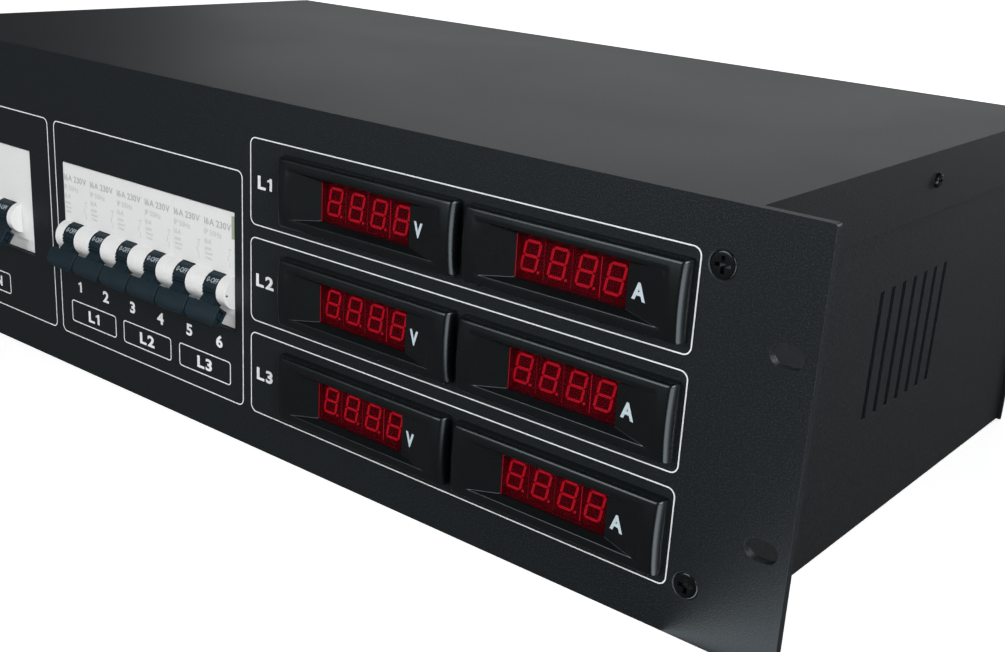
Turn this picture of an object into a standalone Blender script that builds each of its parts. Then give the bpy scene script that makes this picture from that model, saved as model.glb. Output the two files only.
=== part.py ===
"""Rack power distribution box, three rack units high.

Metres, +Z up. The origin is the centre of the tray's underside, +X is to the right
seen from the front, and the front panel faces -Y.
"""
import math

import bmesh
import bpy
from mathutils import Matrix, Vector

# Clearances between pieces
GAP = 0.0003               # pieces that touch
HINGE_GAP = 0.00035        # pins in their holes
ROUND_SIDES = 24           # facets of the rear fittings' large rounds

# Front panel and case
PANEL_WIDTH = 0.4826
PANEL_HEIGHT = 0.1325
PANEL_THICKNESS = 0.003
PANEL_CORNER = 0.001
CASE_WIDTH = 0.438
CASE_DEPTH = 0.250
SHEET = 0.0015             # tray, cover and rear panel
FLANGE = 0.0157            # tray's side flanges, from its outer wall
FRONT_LIP = 0.012          # tray's lip above its underside
COVER_SKIRT = 0.020
RACK_SLOT_SPACING_X = 0.4651
RACK_SLOT_SPACING_Z = 0.05715
RACK_SLOT_LENGTH = 0.0103
RACK_SLOT_HEIGHT = 0.0068
VENT_COUNT = 7
VENT_PITCH = 0.009
VENT_WIDTH = 0.003
VENT_HEIGHT = 0.045

# Screws
PANEL_SCREW_SPACING_X = 0.4211
PANEL_SCREW_SPACING_Z = 0.0973
PANEL_SCREW_HEAD = 0.0042  # radii
PANEL_SCREW_SHANK = 0.002
PANEL_SCREW_LENGTH = 0.010
RECESS_DEPTH = 0.0011
RECESS_ARM = 0.0009        # width of a cross recess's arm
RECESS_SPAN = 0.55         # share of the head's radius

# Modular switchgear: breakers and residual current breaker
MODULE_PITCH = 0.0178
BREAKER_COUNT = 6
LAST_BREAKER_X = 0.0031
NOSE_HEIGHT = 0.0449
FACE_STEP = 0.0004         # label face behind the panel's front
LIP_STEP = 0.0012          # lower lip behind the label face
LIP_HEIGHT = 0.0055
SHOULDER_DEPTH = 0.024     # from the label face
BODY_HEIGHT = 0.082
RAIL_DEPTH = 0.068         # from the label face to the rail's lips
CLAW = 0.0045              # body behind the rail's lips
BODY_CHAMFER = 0.005
PIVOT_DEPTH = 0.0015       # lever axis behind the panel's front
PIVOT_DROP = 0.0082        # lever axis below the nose's middle
CHEEK_RADIUS = 0.0063
DRUM_WIDTH = 0.0072
AXLE_RADIUS = 0.0015
AXLE_STUB = 0.002
LEVER_REST = 45.0          # degrees below level, towards the front
LEVER_GAP = 0.0006         # between neighbouring levers
LEVER_CORNER = 0.002
GROOVE_ANGLES = (-14.0, -2.0, 10.0)
GROOVE_DEPTH = 0.0004
GROOVE_WIDTH = 5.0         # degrees
# Lever's neck, bar and bar pockets: along its rest direction from the axis, and across it
NECK_ENDS = (0.004, 0.009)
NECK_SIDES = (-0.0012, 0.0031)
BAR_SECTION = ((0.0080, -0.0012), (0.0130, -0.0021), (0.0144, -0.0017), (0.0152, -0.0006), (0.0151, 0.0006),
               (0.0143, 0.0015), (0.0128, 0.0023), (0.0110, 0.0029), (0.0084, 0.0033))
BAR_POCKETS = (((0.0092, 0.0114), (-0.0005, 0.0023)), ((0.0121, 0.0138), (-0.0011, 0.0012)))
BAR_POCKET_DEPTH = 0.0018
LOCK_HOLE = 0.0005
LOCK_HOLE_REACH = 0.0055   # from the lever's axis
ENTRY_DEPTH = 0.037        # terminals behind the panel's front
ENTRY_HALF = 0.0028
ENTRY_LENGTH = 0.010
TERMINAL_SCREW_HOLE = 0.0026
RCD_MODULES = 4
RCD_X = -0.15395
RCD_TOGGLE_X = 0.0178      # from the middle of its case
RCD_DRUM_WIDTH = 0.010
RCD_BAR_WIDTH = 0.0172
TEST_BUTTON_X = -0.0155
TEST_BUTTON_SIZE = 0.0065
TEST_BUTTON_RISE = 0.0015
TEST_BUTTON_LENGTH = 0.0065
TEST_BUTTON_TRAVEL = 0.0012
TEST_BUTTON_EDGE = 0.0004

# Rail and its uprights
RAIL_HEIGHT = 0.035
RAIL_HAT = 0.027
RAIL_BULGE = 0.0075
RAIL_SHEET = 0.001
RAIL_OVERHANG = 0.0165     # past the outermost device
UPRIGHT_WIDTH = 0.013      # the tray's uprights that carry the rail
UPRIGHT_SHEET = 0.002
UPRIGHT_RISE = 0.012       # above the rail's middle

# Panel meters
METER_COLUMNS = {"volt": 0.0792, "amp": 0.1625}
METER_PITCH_Z = 0.036
METER_RAISE = 0.0004       # middle meter above the panel's middle
BEZEL_WIDTH = 0.080
BEZEL_HEIGHT = 0.0246
BEZEL_RISE = 0.0042        # at its long edges
BEZEL_BOW = 0.001
BOW_STEPS = 10
BEZEL_CORNER = 0.0012
BEZEL_EDGE = 0.0008
EDGE_TURN = 50.0           # degrees past which a front edge is softened
FRONT_LEAN = 0.5           # forward share of a face's normal that parts the front from the sides
WINDOW_WIDTH = 0.0403
WINDOW_HEIGHT = 0.0135
WINDOW_FLOOR = 0.0021      # pocket floor in front of the panel
POCKET_TIP_X = 0.033
POCKET_TIP_Z = 0.0086
POCKET_TIP_RISE = 0.0047
WINDOW_GAP = 0.0002
FRONT_WALL = 0.0012
HOUSING_WIDTH = 0.076
HOUSING_HEIGHT = 0.0218
HOUSING_DEPTH = 0.030
HOUSING_WALL = 0.0012
CATCH_RISE = 0.001
CATCH_LENGTH = 0.004
WINDOW_RIM = 0.002
DIGIT_COUNT = 4
DIGIT_PITCH = 0.0102
DIGIT_HEIGHT = 0.0132
DIGIT_DEPTH = 0.0065
DIGIT_HIDDEN_X = 0.0010    # first module's reach past the window's left edge
DIGIT_HIDDEN_Z = 0.0002    # modules' reach past the window's lower edge
BOARD = 0.0016
BOARD_POST = 0.0015
BOARD_POST_SPACING = 0.060
METER_TERMINAL = (0.022, 0.007, 0.008)

# Rear sockets
SOCKET_COLUMN_COUNT = 3
SOCKET_PITCH_X = 0.095
SOCKET_LAST_X = 0.145
SOCKET_PITCH_Z = 0.057
SOCKET_FLANGE = 0.050
FLANGE_THICKNESS = 0.004
FLANGE_CORNER = 0.004
SOCKET_COLLAR = 0.022      # radii
SOCKET_WELL = 0.0195
SOCKET_BACK = 0.0218
SOCKET_RISE = 0.010        # collar's edge behind the rear panel
SOCKET_WELL_DEPTH = 0.0175
SOCKET_DEPTH = 0.032       # into the case
CONTACT_SPACING = 0.019
CONTACT_HOLE = 0.0026
CONTACT_DEPTH = 0.018
EARTH_CLIP = (0.004, 0.010, 0.0015)

# Inlet
INLET_X = -0.155
INLET_FLANGE = 0.078
INLET_COLLAR = 0.033
INLET_WELL = 0.0295
INLET_BACK = 0.030
INLET_RISE = 0.048
INLET_WELL_DEPTH = 0.042
INLET_DEPTH = 0.035
PIN_COUNT = 5
PIN_CIRCLE = 0.0135
PIN_RADIUS = 0.003
EARTH_PIN_RADIUS = 0.0038
INSERT_THICKNESS = 0.010
PIN_SETBACK = 0.006        # pin tips inside the shroud's edge

# Hinged lids of the sockets and the inlet
LID_THICKNESS = 0.0025
LID_OVERLAP = 0.0003
LID_TAB = (0.014, 0.004)
HINGE_OUT = 0.0032         # axis beyond the lid's edge
HINGE_RISE = 0.0015        # axis beyond the collar's edge
HINGE_BARREL = 0.0025
HINGE_PIN = 0.00125
LUG_RADIUS = 0.003
LUG_INNER = 0.009
LUG_WIDTH = 0.004
LUG_ROOT = 0.008

# Phase busbar, current transformers and terminal strip
BUSBAR_SHEET = 0.0044
BUSBAR_HEIGHT = 0.009
BUSBAR_END = 0.006         # past the outermost prong
PRONG_WIDTH = 0.005
PRONG_SHEET = 0.0016
PRONG_LENGTH = 0.008
TRANSFORMER_BORE = 0.0045
TRANSFORMER_WALL = 0.0065  # round the bores
TRANSFORMER_LENGTH = 0.014
TRANSFORMER_Y = 0.030
STRIP_WIDTH = 0.012
STRIP_CLEARANCE = 0.0044   # below the devices
STRIP_Y = -0.069
STRIP_END = 0.006          # past the outermost lead

# Leads inside the case
SUPPLY_RADIUS = 0.0025
SUPPLY_BEND = 0.007
BRANCH_RADIUS = 0.0018
BRANCH_BEND = 0.005
SUPPLY_SHARE = 0.6         # lead's height in the room under the devices
BRANCH_SHARE = 0.27
LEAD_SEAT = 0.007          # lead inside a terminal's entry
BRANCH_STEP_Y = 0.006
BRANCH_FIRST_Y = -0.015
SUPPLY_DROP_Y = 0.062
RISE_UPPER_Y = 0.058
RISE_LOWER_Y = 0.072
LANE_OFFSET = 0.004        # between the two leads of one socket column
TRIM_SHARE = 0.49          # most of a stretch that a bend takes

# Places worked out from the sizes
FRONT_Y = -CASE_DEPTH / 2
REAR_Y = CASE_DEPTH / 2
PANEL_BACK_Y = FRONT_Y + PANEL_THICKNESS
REAR_INNER_Y = REAR_Y - SHEET
MID_Z = PANEL_HEIGHT / 2
FLOOR_Z = SHEET + GAP
CASE_FRONT_Y = PANEL_BACK_Y + GAP
CASE_REAR_Y = REAR_INNER_Y - GAP
TRAY_HALF = CASE_WIDTH / 2 - SHEET - GAP
FLANGE_INNER = TRAY_HALF - FLANGE
MODULE_WIDTH = MODULE_PITCH - GAP
UNDER_DEVICES = MID_Z - BODY_HEIGHT / 2 - FLOOR_Z
SUPPLY_Z = FLOOR_Z + SUPPLY_SHARE * UNDER_DEVICES
BRANCH_Z = FLOOR_Z + BRANCH_SHARE * UNDER_DEVICES
PIVOT_Y = FRONT_Y + PIVOT_DEPTH
PIVOT_Z = MID_Z - PIVOT_DROP
SLOT_RADIUS = CHEEK_RADIUS + GAP
ENTRY_Y = FRONT_Y + ENTRY_DEPTH
RAIL_Y = FACE_STEP + RAIL_DEPTH
BREAKER_XS = [LAST_BREAKER_X - MODULE_PITCH * n for n in reversed(range(BREAKER_COUNT))]
RCD_WIDTH = RCD_MODULES * MODULE_PITCH - GAP
RCD_ENTRIES = [(n - (RCD_MODULES - 1) / 2) * MODULE_PITCH for n in range(RCD_MODULES)]
DISPLAY_FRONT = FRONT_WALL - WINDOW_FLOOR + 2 * GAP + FRONT_WALL
BOARD_FRONT = DISPLAY_FRONT + DIGIT_DEPTH + GAP
SOCKET_ZS = (MID_Z + SOCKET_PITCH_Z / 2, MID_Z - SOCKET_PITCH_Z / 2)

PARTS = "power_distribution_box"
CUTTERS = "cutters"

# Directions in which an outline is drawn out: columns are the outline's x, y and depth
ALONG = {
    "X": Matrix(((0, 0, 1), (1, 0, 0), (0, 1, 0))),
    "Y": Matrix(((1, 0, 0), (0, 0, -1), (0, 1, 0))),
    "Z": Matrix.Identity(3),
}


def clear_scene():
    """Remove the start-up objects and make the two collections."""
    for item in list(bpy.data.objects):
        bpy.data.objects.remove(item, do_unlink=True)
    for name in (PARTS, CUTTERS):
        bpy.context.scene.collection.children.link(bpy.data.collections.new(name))


def material(name, colour, roughness, metallic=0.0, alpha=1.0):
    """A Principled material."""
    made = bpy.data.materials.new(name)
    made.use_nodes = True
    shader = made.node_tree.nodes["Principled BSDF"]
    shader.inputs["Base Color"].default_value = (*colour, 1.0)
    shader.inputs["Roughness"].default_value = roughness
    shader.inputs["Metallic"].default_value = metallic
    shader.inputs["Alpha"].default_value = alpha
    return made


def add_object(name, mesh):
    """Put a mesh in the parts collection under a name."""
    piece = bpy.data.objects.new(name, mesh)
    bpy.data.collections[PARTS].objects.link(piece)
    return piece


def from_bmesh(name, shape):
    """An object from a closed bmesh, its faces pointing out."""
    bmesh.ops.recalc_face_normals(shape, faces=shape.faces)
    mesh = bpy.data.meshes.new(name)
    shape.to_mesh(mesh)
    shape.free()
    return add_object(name, mesh)


def box(name, low, high):
    """A box between two corners."""
    shape = bmesh.new()
    bmesh.ops.create_cube(shape, size=1.0)
    size = Vector(high) - Vector(low)
    middle = (Vector(high) + Vector(low)) / 2
    bmesh.ops.scale(shape, vec=size, verts=shape.verts)
    bmesh.ops.translate(shape, vec=middle, verts=shape.verts)
    return from_bmesh(name, shape)


def cylinder(name, axis, middle, low, high, radius, sides=24, end_radius=None):
    """A cylinder or cone along X, Y or Z; end_radius is the one at the high end."""
    shape = bmesh.new()
    top = radius if end_radius is None else end_radius
    first, last = (top, radius) if axis == "Y" else (radius, top)
    bmesh.ops.create_cone(shape, cap_ends=True, segments=sides, radius1=first, radius2=last,
                          depth=high - low)
    turn = ALONG[axis].to_4x4()
    depth = Vector((0, 0, (low + high) / 2 * (-1 if axis == "Y" else 1)))
    place = turn @ Matrix.Translation(Vector((*middle, 0)) + depth)
    bmesh.ops.transform(shape, matrix=place, verts=shape.verts)
    return from_bmesh(name, shape)


def prism(name, axis, outline, low, high):
    """An outline drawn out along X, Y or Z, from low to high."""
    curve = bpy.data.curves.new(name, "CURVE")
    curve.dimensions = "2D"
    curve.fill_mode = "BOTH"
    curve.extrude = (high - low) / 2
    spline = curve.splines.new("POLY")
    spline.points.add(len(outline) - 1)
    for point, (across, up) in zip(spline.points, outline):
        point.co = (across, up, 0, 1)
    spline.use_cyclic_u = True
    depth = (low + high) / 2 * (-1 if axis == "Y" else 1)
    place = ALONG[axis].to_4x4() @ Matrix.Translation((0, 0, depth))
    return curve_to_mesh(name, curve, place)


def curve_to_mesh(name, curve, place):
    """Turn a curve into a closed mesh and remove the curve."""
    guide = add_object(name + "_curve", curve)
    bpy.context.view_layer.update()
    graph = bpy.context.evaluated_depsgraph_get()
    mesh = bpy.data.meshes.new_from_object(guide.evaluated_get(graph))
    shape = bmesh.new()
    shape.from_mesh(mesh)
    bmesh.ops.remove_doubles(shape, verts=shape.verts, dist=1e-6)
    bmesh.ops.transform(shape, matrix=place, verts=shape.verts)
    bpy.data.objects.remove(guide, do_unlink=True)
    bpy.data.curves.remove(curve)
    bpy.data.meshes.remove(mesh)
    return from_bmesh(name, shape)


def rounded_rectangle(width, height, radius, steps=4, middle=(0, 0)):
    """Outline of a rectangle with round corners."""
    points = []
    for quarter, (side, up) in enumerate(((1, 1), (-1, 1), (-1, -1), (1, -1))):
        for step in range(steps + 1):
            angle = math.radians(90 * (quarter + step / steps))
            points.append((middle[0] + side * (width / 2 - radius) + radius * math.cos(angle),
                           middle[1] + up * (height / 2 - radius) + radius * math.sin(angle)))
    return points


def combine(piece, other, operation):
    """Cut, join or intersect a piece with another, which is kept as a hidden guide."""
    step = piece.modifiers.new(other.name, "BOOLEAN")
    step.operation = operation
    step.solver = "EXACT"
    step.object = other
    other.hide_render = True
    other.display_type = "WIRE"
    bpy.data.collections[PARTS].objects.unlink(other)
    bpy.data.collections[CUTTERS].objects.link(other)


def cut(piece, *cutters):
    """Cut cutters out of a piece."""
    for cutter in cutters:
        combine(piece, cutter, "DIFFERENCE")


def join(piece, *others):
    """Join other shapes to a piece."""
    for other in others:
        combine(piece, other, "UNION")


def settle(piece):
    """Apply a piece's modifiers, so that copies can share its mesh, and drop its guides."""
    guides = [step.object for step in piece.modifiers]
    bpy.context.view_layer.update()
    graph = bpy.context.evaluated_depsgraph_get()
    mesh = bpy.data.meshes.new_from_object(piece.evaluated_get(graph))
    piece.modifiers.clear()
    piece.data = mesh
    for guide in guides:
        bpy.data.objects.remove(guide, do_unlink=True)


def group(name, pieces):
    """Gather separate solids into one object."""
    shape = bmesh.new()
    for piece in pieces:
        settle(piece)
        start = len(shape.verts)
        shape.from_mesh(piece.data)
        shape.verts.ensure_lookup_table()
        bmesh.ops.transform(shape, matrix=piece.matrix_basis, verts=shape.verts[start:])
        bpy.data.objects.remove(piece, do_unlink=True)
    return from_bmesh(name, shape)


def finish(piece, look, smooth=True):
    """Give a piece its material and smooth its round faces."""
    piece.data.materials.clear()
    piece.data.materials.append(look)
    if smooth:
        piece.data.shade_smooth()
        piece.data.set_sharp_from_angle(angle=math.radians(32))


def copies(piece, places):
    """Place a piece and its copies; the first name takes the piece itself."""
    settle(piece)
    made = []
    for name, place in places:
        item = piece if not made else add_object(name, piece.data)
        item.name = name
        item.location = place
        made.append(item)
    return made


# Sheet metal

def front_panel(look):
    """Flat rack panel with its cut-outs."""
    outline = rounded_rectangle(PANEL_WIDTH, PANEL_HEIGHT, PANEL_CORNER, 2, (0, MID_Z))
    panel = prism("front_panel", "Y", outline, FRONT_Y, PANEL_BACK_Y)
    low, high = FRONT_Y - GAP, PANEL_BACK_Y + GAP
    openings = []
    for side in (-1, 1):
        for up in (-1, 1):
            middle = (side * RACK_SLOT_SPACING_X / 2, MID_Z + up * RACK_SLOT_SPACING_Z / 2)
            slot = rounded_rectangle(RACK_SLOT_LENGTH, RACK_SLOT_HEIGHT, RACK_SLOT_HEIGHT / 2, 5, middle)
            openings.append(prism("rack_slot", "Y", slot, low, high))
    half_nose = NOSE_HEIGHT / 2 + GAP
    first = BREAKER_XS[0] - MODULE_WIDTH / 2 - GAP
    last = BREAKER_XS[-1] + MODULE_WIDTH / 2 + GAP
    openings.append(box("breaker_opening", (first, low, MID_Z - half_nose), (last, high, MID_Z + half_nose)))
    half_rcd = RCD_WIDTH / 2 + GAP
    openings.append(box("rcd_opening", (RCD_X - half_rcd, low, MID_Z - half_nose),
                        (RCD_X + half_rcd, high, MID_Z + half_nose)))
    for middle_x, middle_z in meter_places():
        half_x = HOUSING_WIDTH / 2 + GAP
        half_z = HOUSING_HEIGHT / 2 + GAP
        openings.append(box("meter_opening", (middle_x - half_x, low, middle_z - half_z),
                            (middle_x + half_x, high, middle_z + half_z)))
    cut(panel, group("panel_openings", openings), group("panel_countersinks", countersinks()))
    finish(panel, look, smooth=False)
    return panel


def panel_screw_places():
    """Middle points of the panel's four screws."""
    return [(side * PANEL_SCREW_SPACING_X / 2, MID_Z + up * PANEL_SCREW_SPACING_Z / 2)
            for side in (-1, 1) for up in (-1, 1)]


def countersinks():
    """Cone and hole of each panel screw, as cutters."""
    cutters = []
    hole = PANEL_SCREW_SHANK + GAP
    sink = PANEL_SCREW_HEAD + GAP
    for place in panel_screw_places():
        shaft = cylinder("countersink", "Y", place, FRONT_Y - GAP, PANEL_BACK_Y + GAP, hole, 16)
        cone = cylinder("countersink_cone", "Y", place, FRONT_Y - GAP, FRONT_Y - GAP + sink, sink + GAP, 24,
                        end_radius=GAP)
        join(shaft, cone)
        cutters.append(shaft)
    return cutters


def chassis_tray(look):
    """Floor, sides and flanges folded from one sheet, with the rail's uprights welded to the floor."""
    top = PANEL_HEIGHT - SHEET - GAP
    tray = box("chassis_tray", (-TRAY_HALF, CASE_FRONT_Y, 0), (TRAY_HALF, CASE_REAR_Y, top))
    inner = TRAY_HALF - SHEET
    beyond = PANEL_HEIGHT
    hollow = box("tray_hollow", (-inner, CASE_FRONT_Y + SHEET, SHEET), (inner, CASE_REAR_Y - SHEET, beyond))
    window = box("tray_window", (-FLANGE_INNER, -CASE_DEPTH, FRONT_LIP), (FLANGE_INNER, CASE_DEPTH, beyond))
    holes = [cylinder("flange_hole", "Y", place, CASE_FRONT_Y - GAP, CASE_FRONT_Y + SHEET + GAP,
                      PANEL_SCREW_SHANK + GAP, 12) for place in panel_screw_places()]
    for number in range(VENT_COUNT):
        middle = (number - (VENT_COUNT - 1) / 2) * VENT_PITCH
        holes.append(box("vent", (-CASE_WIDTH, middle - VENT_WIDTH / 2, MID_Z - VENT_HEIGHT / 2),
                         (CASE_WIDTH, middle + VENT_WIDTH / 2, MID_Z + VENT_HEIGHT / 2)))
    cut(tray, hollow, window, group("tray_holes", holes))
    start = FRONT_Y + RAIL_Y + RAIL_BULGE + GAP
    for middle in upright_xs():
        half = UPRIGHT_WIDTH / 2
        join(tray, box("rail_upright", (middle - half, start, SHEET / 2),
                       (middle + half, start + UPRIGHT_SHEET, MID_Z + UPRIGHT_RISE)))
    finish(tray, look, smooth=False)
    return tray


def upright_xs():
    """Uprights at both ends of the rail and between the two kinds of device."""
    left, right = device_ends()
    between = (RCD_X + RCD_WIDTH / 2 + BREAKER_XS[0] - MODULE_WIDTH / 2) / 2
    outer = RAIL_OVERHANG - UPRIGHT_WIDTH / 2
    return left - outer, between, right + outer


def top_cover(look):
    """Flat lid with a skirt down each side."""
    low_z = PANEL_HEIGHT - SHEET - COVER_SKIRT
    half = CASE_WIDTH / 2
    cover = box("top_cover", (-half, CASE_FRONT_Y, low_z), (half, CASE_REAR_Y, PANEL_HEIGHT))
    inner = half - SHEET
    cut(cover, box("cover_hollow", (-inner, -CASE_DEPTH, 0), (inner, CASE_DEPTH, PANEL_HEIGHT - SHEET)))
    finish(cover, look, smooth=False)
    return cover


def rear_panel(look):
    """Flat rear panel with round openings for the sockets and the inlet."""
    half = CASE_WIDTH / 2
    panel = box("rear_panel", (-half, REAR_INNER_Y, 0), (half, REAR_Y, PANEL_HEIGHT))
    low, high = REAR_INNER_Y - GAP, REAR_Y + GAP
    holes = [cylinder("socket_hole", "Y", place, low, high, SOCKET_BACK + GAP, 16)
             for place in socket_places()]
    holes.append(cylinder("inlet_hole", "Y", (INLET_X, MID_Z), low, high, INLET_BACK + GAP, 24))
    cut(panel, group("rear_holes", holes))
    finish(panel, look, smooth=False)
    return panel


# Screws

def panel_screw(name):
    """Countersunk cross-head screw at the origin, its head facing -Y."""
    cone = PANEL_SCREW_HEAD - PANEL_SCREW_SHANK
    head = cylinder(name, "Y", (0, 0), 0, cone, PANEL_SCREW_HEAD, 32, end_radius=PANEL_SCREW_SHANK)
    shank = cylinder("panel_shank", "Y", (0, 0), cone / 2, PANEL_SCREW_LENGTH,
                     PANEL_SCREW_SHANK - GAP / 10, 12)
    join(head, shank)
    arm = PANEL_SCREW_HEAD * RECESS_SPAN
    half = RECESS_ARM / 2
    for across, up in ((arm, half), (half, arm)):
        cut(head, box("recess", (-across, -GAP, -up), (across, RECESS_DEPTH, up)))
    return head


# Breakers and residual current breaker, with y = 0 at the panel's front and z = 0 at the nose's middle

def switch_outline(cheeks):
    """Side view of a modular case, with or without the round cheeks of its lever."""
    nose = NOSE_HEIGHT / 2
    body = BODY_HEIGHT / 2
    shoulder = FACE_STEP + SHOULDER_DEPTH
    back = RAIL_Y + CLAW
    groove = RAIL_HEIGHT / 2 + GAP
    lip = FACE_STEP + LIP_STEP
    outline = [(FACE_STEP, nose)]
    if cheeks:
        reach = math.acos((PIVOT_DEPTH - FACE_STEP) / CHEEK_RADIUS)
        for step in range(13):
            angle = reach * (1 - step / 6)
            outline.append((PIVOT_DEPTH - CHEEK_RADIUS * math.cos(angle),
                            -PIVOT_DROP + CHEEK_RADIUS * math.sin(angle)))
    outline += [(FACE_STEP, LIP_HEIGHT - nose), (lip, LIP_HEIGHT - nose), (lip, -nose), (shoulder, -nose),
                (shoulder, -body), (back - 2 * BODY_CHAMFER, -body), (back, BODY_CHAMFER - body),
                (back, -groove), (RAIL_Y - GAP, -groove), (RAIL_Y - GAP, groove), (back, groove),
                (back, body - BODY_CHAMFER), (back - 2 * BODY_CHAMFER, body), (shoulder, body),
                (shoulder, nose)]
    return outline


def terminal_cutters(entries):
    """Wire entries and screw holes at both ends of a case."""
    cutters = []
    middle_z = (BODY_HEIGHT + NOSE_HEIGHT) / 4
    shoulder = FACE_STEP + SHOULDER_DEPTH
    for entry in entries:
        for up in (-1, 1):
            outer = up * (BODY_HEIGHT / 2 + GAP)
            inner = up * (BODY_HEIGHT / 2 - ENTRY_LENGTH)
            cutters.append(box("entry", (entry - ENTRY_HALF, ENTRY_DEPTH - ENTRY_HALF, min(inner, outer)),
                               (entry + ENTRY_HALF, ENTRY_DEPTH + ENTRY_HALF, max(inner, outer))))
            cutters.append(cylinder("terminal_hole", "Y", (entry, up * middle_z), shoulder - GAP,
                                    ENTRY_DEPTH - ENTRY_HALF - SHEET, TERMINAL_SCREW_HOLE, 8))
    return group("terminal_cutters", cutters)


def toggle_cutters(middle_x, drum_width):
    """Room for a lever's drum and its axle."""
    pivot = (PIVOT_DEPTH, -PIVOT_DROP)
    half = drum_width / 2 + GAP
    stub = drum_width / 2 + AXLE_STUB + GAP
    slot = cylinder("drum_slot", "X", pivot, middle_x - half, middle_x + half, SLOT_RADIUS, 24)
    axle = cylinder("axle_hole", "X", pivot, middle_x - stub, middle_x + stub, AXLE_RADIUS + HINGE_GAP, 8)
    join(slot, axle)
    settle(slot)
    return slot


def breaker_case(name):
    """One-module case with round cheeks beside the lever."""
    half = MODULE_WIDTH / 2
    case = prism(name, "X", switch_outline(True), -half, half)
    lock = cylinder("lock_hole", "X", (PIVOT_DEPTH - LOCK_HOLE_REACH, -PIVOT_DROP), half - 2 * LOCK_HOLE,
                    half + GAP, LOCK_HOLE, 8)
    cut(case, terminal_cutters([0]), toggle_cutters(0, DRUM_WIDTH), lock)
    return case


def rcd_case(look):
    """Four-module case of the residual current breaker."""
    half = RCD_WIDTH / 2
    case = prism("rcd_case", "X", switch_outline(False), -half, half)
    pivot = (PIVOT_DEPTH, -PIVOT_DROP)
    cheeks = cylinder("rcd_cheeks", "X", pivot, RCD_TOGGLE_X - RCD_BAR_WIDTH / 2,
                      RCD_TOGGLE_X + RCD_BAR_WIDTH / 2, CHEEK_RADIUS, 36)
    join(case, cheeks)
    half_hole = TEST_BUTTON_SIZE / 2 + GAP
    well = TEST_BUTTON_LENGTH - TEST_BUTTON_RISE + TEST_BUTTON_TRAVEL + GAP
    pocket = box("button_pocket", (TEST_BUTTON_X - half_hole, -GAP, -PIVOT_DROP - half_hole),
                 (TEST_BUTTON_X + half_hole, FACE_STEP + well, -PIVOT_DROP + half_hole))
    cut(case, terminal_cutters(RCD_ENTRIES), toggle_cutters(RCD_TOGGLE_X, RCD_DRUM_WIDTH), pocket)
    settle(case)
    case.location = (RCD_X, FRONT_Y, MID_Z)
    finish(case, look)
    return case


def test_button(look):
    """Square push button of the residual current breaker."""
    half = TEST_BUTTON_SIZE / 2
    button = box("rcd_test_button", (-half, 0, -half), (half, TEST_BUTTON_LENGTH, half))
    edges = button.modifiers.new("edges", "BEVEL")
    edges.width = TEST_BUTTON_EDGE
    edges.segments = 2
    button.location = (RCD_X + TEST_BUTTON_X, FRONT_Y + FACE_STEP - TEST_BUTTON_RISE, PIVOT_Z)
    finish(button, look)
    return button


def lean(along, across):
    """A point (y, z) from the lever's axis: along its rest direction, and across it upwards."""
    angle = math.radians(LEVER_REST)
    return (-along * math.cos(angle) - across * math.sin(angle),
            -along * math.sin(angle) + across * math.cos(angle))


def leaning_box(ends, sides):
    """Outline of a rectangle along the lever's rest direction."""
    low, high = ends
    under, over = sides
    return [lean(low, under), lean(high, under), lean(high, over), lean(low, over)]


def drum_outline():
    """Round drum with grip grooves across its front."""
    floor = CHEEK_RADIUS - GROOVE_DEPTH
    marks = []
    for middle in GROOVE_ANGLES:
        for side, radius in ((-1, CHEEK_RADIUS), (-1, floor), (1, floor), (1, CHEEK_RADIUS)):
            marks.append((middle + side * GROOVE_WIDTH / 2, radius))
    marks += [(angle, CHEEK_RADIUS) for angle in range(30, 331, 15)]
    return [(-radius * math.cos(math.radians(angle)), radius * math.sin(math.radians(angle)))
            for angle, radius in marks]


def toggle_lever(name, drum_width, bar_width):
    """Drum, neck and finger bar of a lever, with the origin on its axis."""
    half = drum_width / 2
    lever = prism(name, "X", drum_outline(), -half, half)
    stub = half + AXLE_STUB
    axle = cylinder("axle", "X", (0, 0), -stub, stub, AXLE_RADIUS, 8)
    neck = prism("neck", "X", leaning_box(NECK_ENDS, NECK_SIDES), GAP / 3 - half, half - GAP / 3)
    bar = finger_bar(bar_width)
    join(lever, axle, neck, bar)
    return lever


def finger_bar(width):
    """Bar across the lever's end, with round corners and a pocket pair in each end."""
    bar = prism("finger_bar", "X", [lean(*point) for point in BAR_SECTION], -width / 2, width / 2)
    tip = max(point[0] for point in BAR_SECTION)
    outline = rounded_rectangle(width - GAP / 3, 2 * tip, LEVER_CORNER, 4)
    plan = prism("bar_plan", "Z", outline, -tip / 2, tip / 2)
    plan.data.transform(Matrix.Rotation(math.radians(180 + LEVER_REST), 4, "X"))
    combine(bar, plan, "INTERSECT")
    pockets = []
    for ends, sides in BAR_POCKETS:
        for side in (-1, 1):
            reach = sorted((side * (width / 2 - BAR_POCKET_DEPTH), side * width))
            pockets.append(prism("bar_pocket", "X", leaning_box(ends, sides), *reach))
    cut(bar, group("bar_pockets", pockets))
    settle(bar)
    return bar


# Rail and busbar

def device_ends():
    """Left end of the residual current breaker and right end of the last breaker."""
    return RCD_X - RCD_WIDTH / 2, BREAKER_XS[-1] + MODULE_WIDTH / 2


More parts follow.
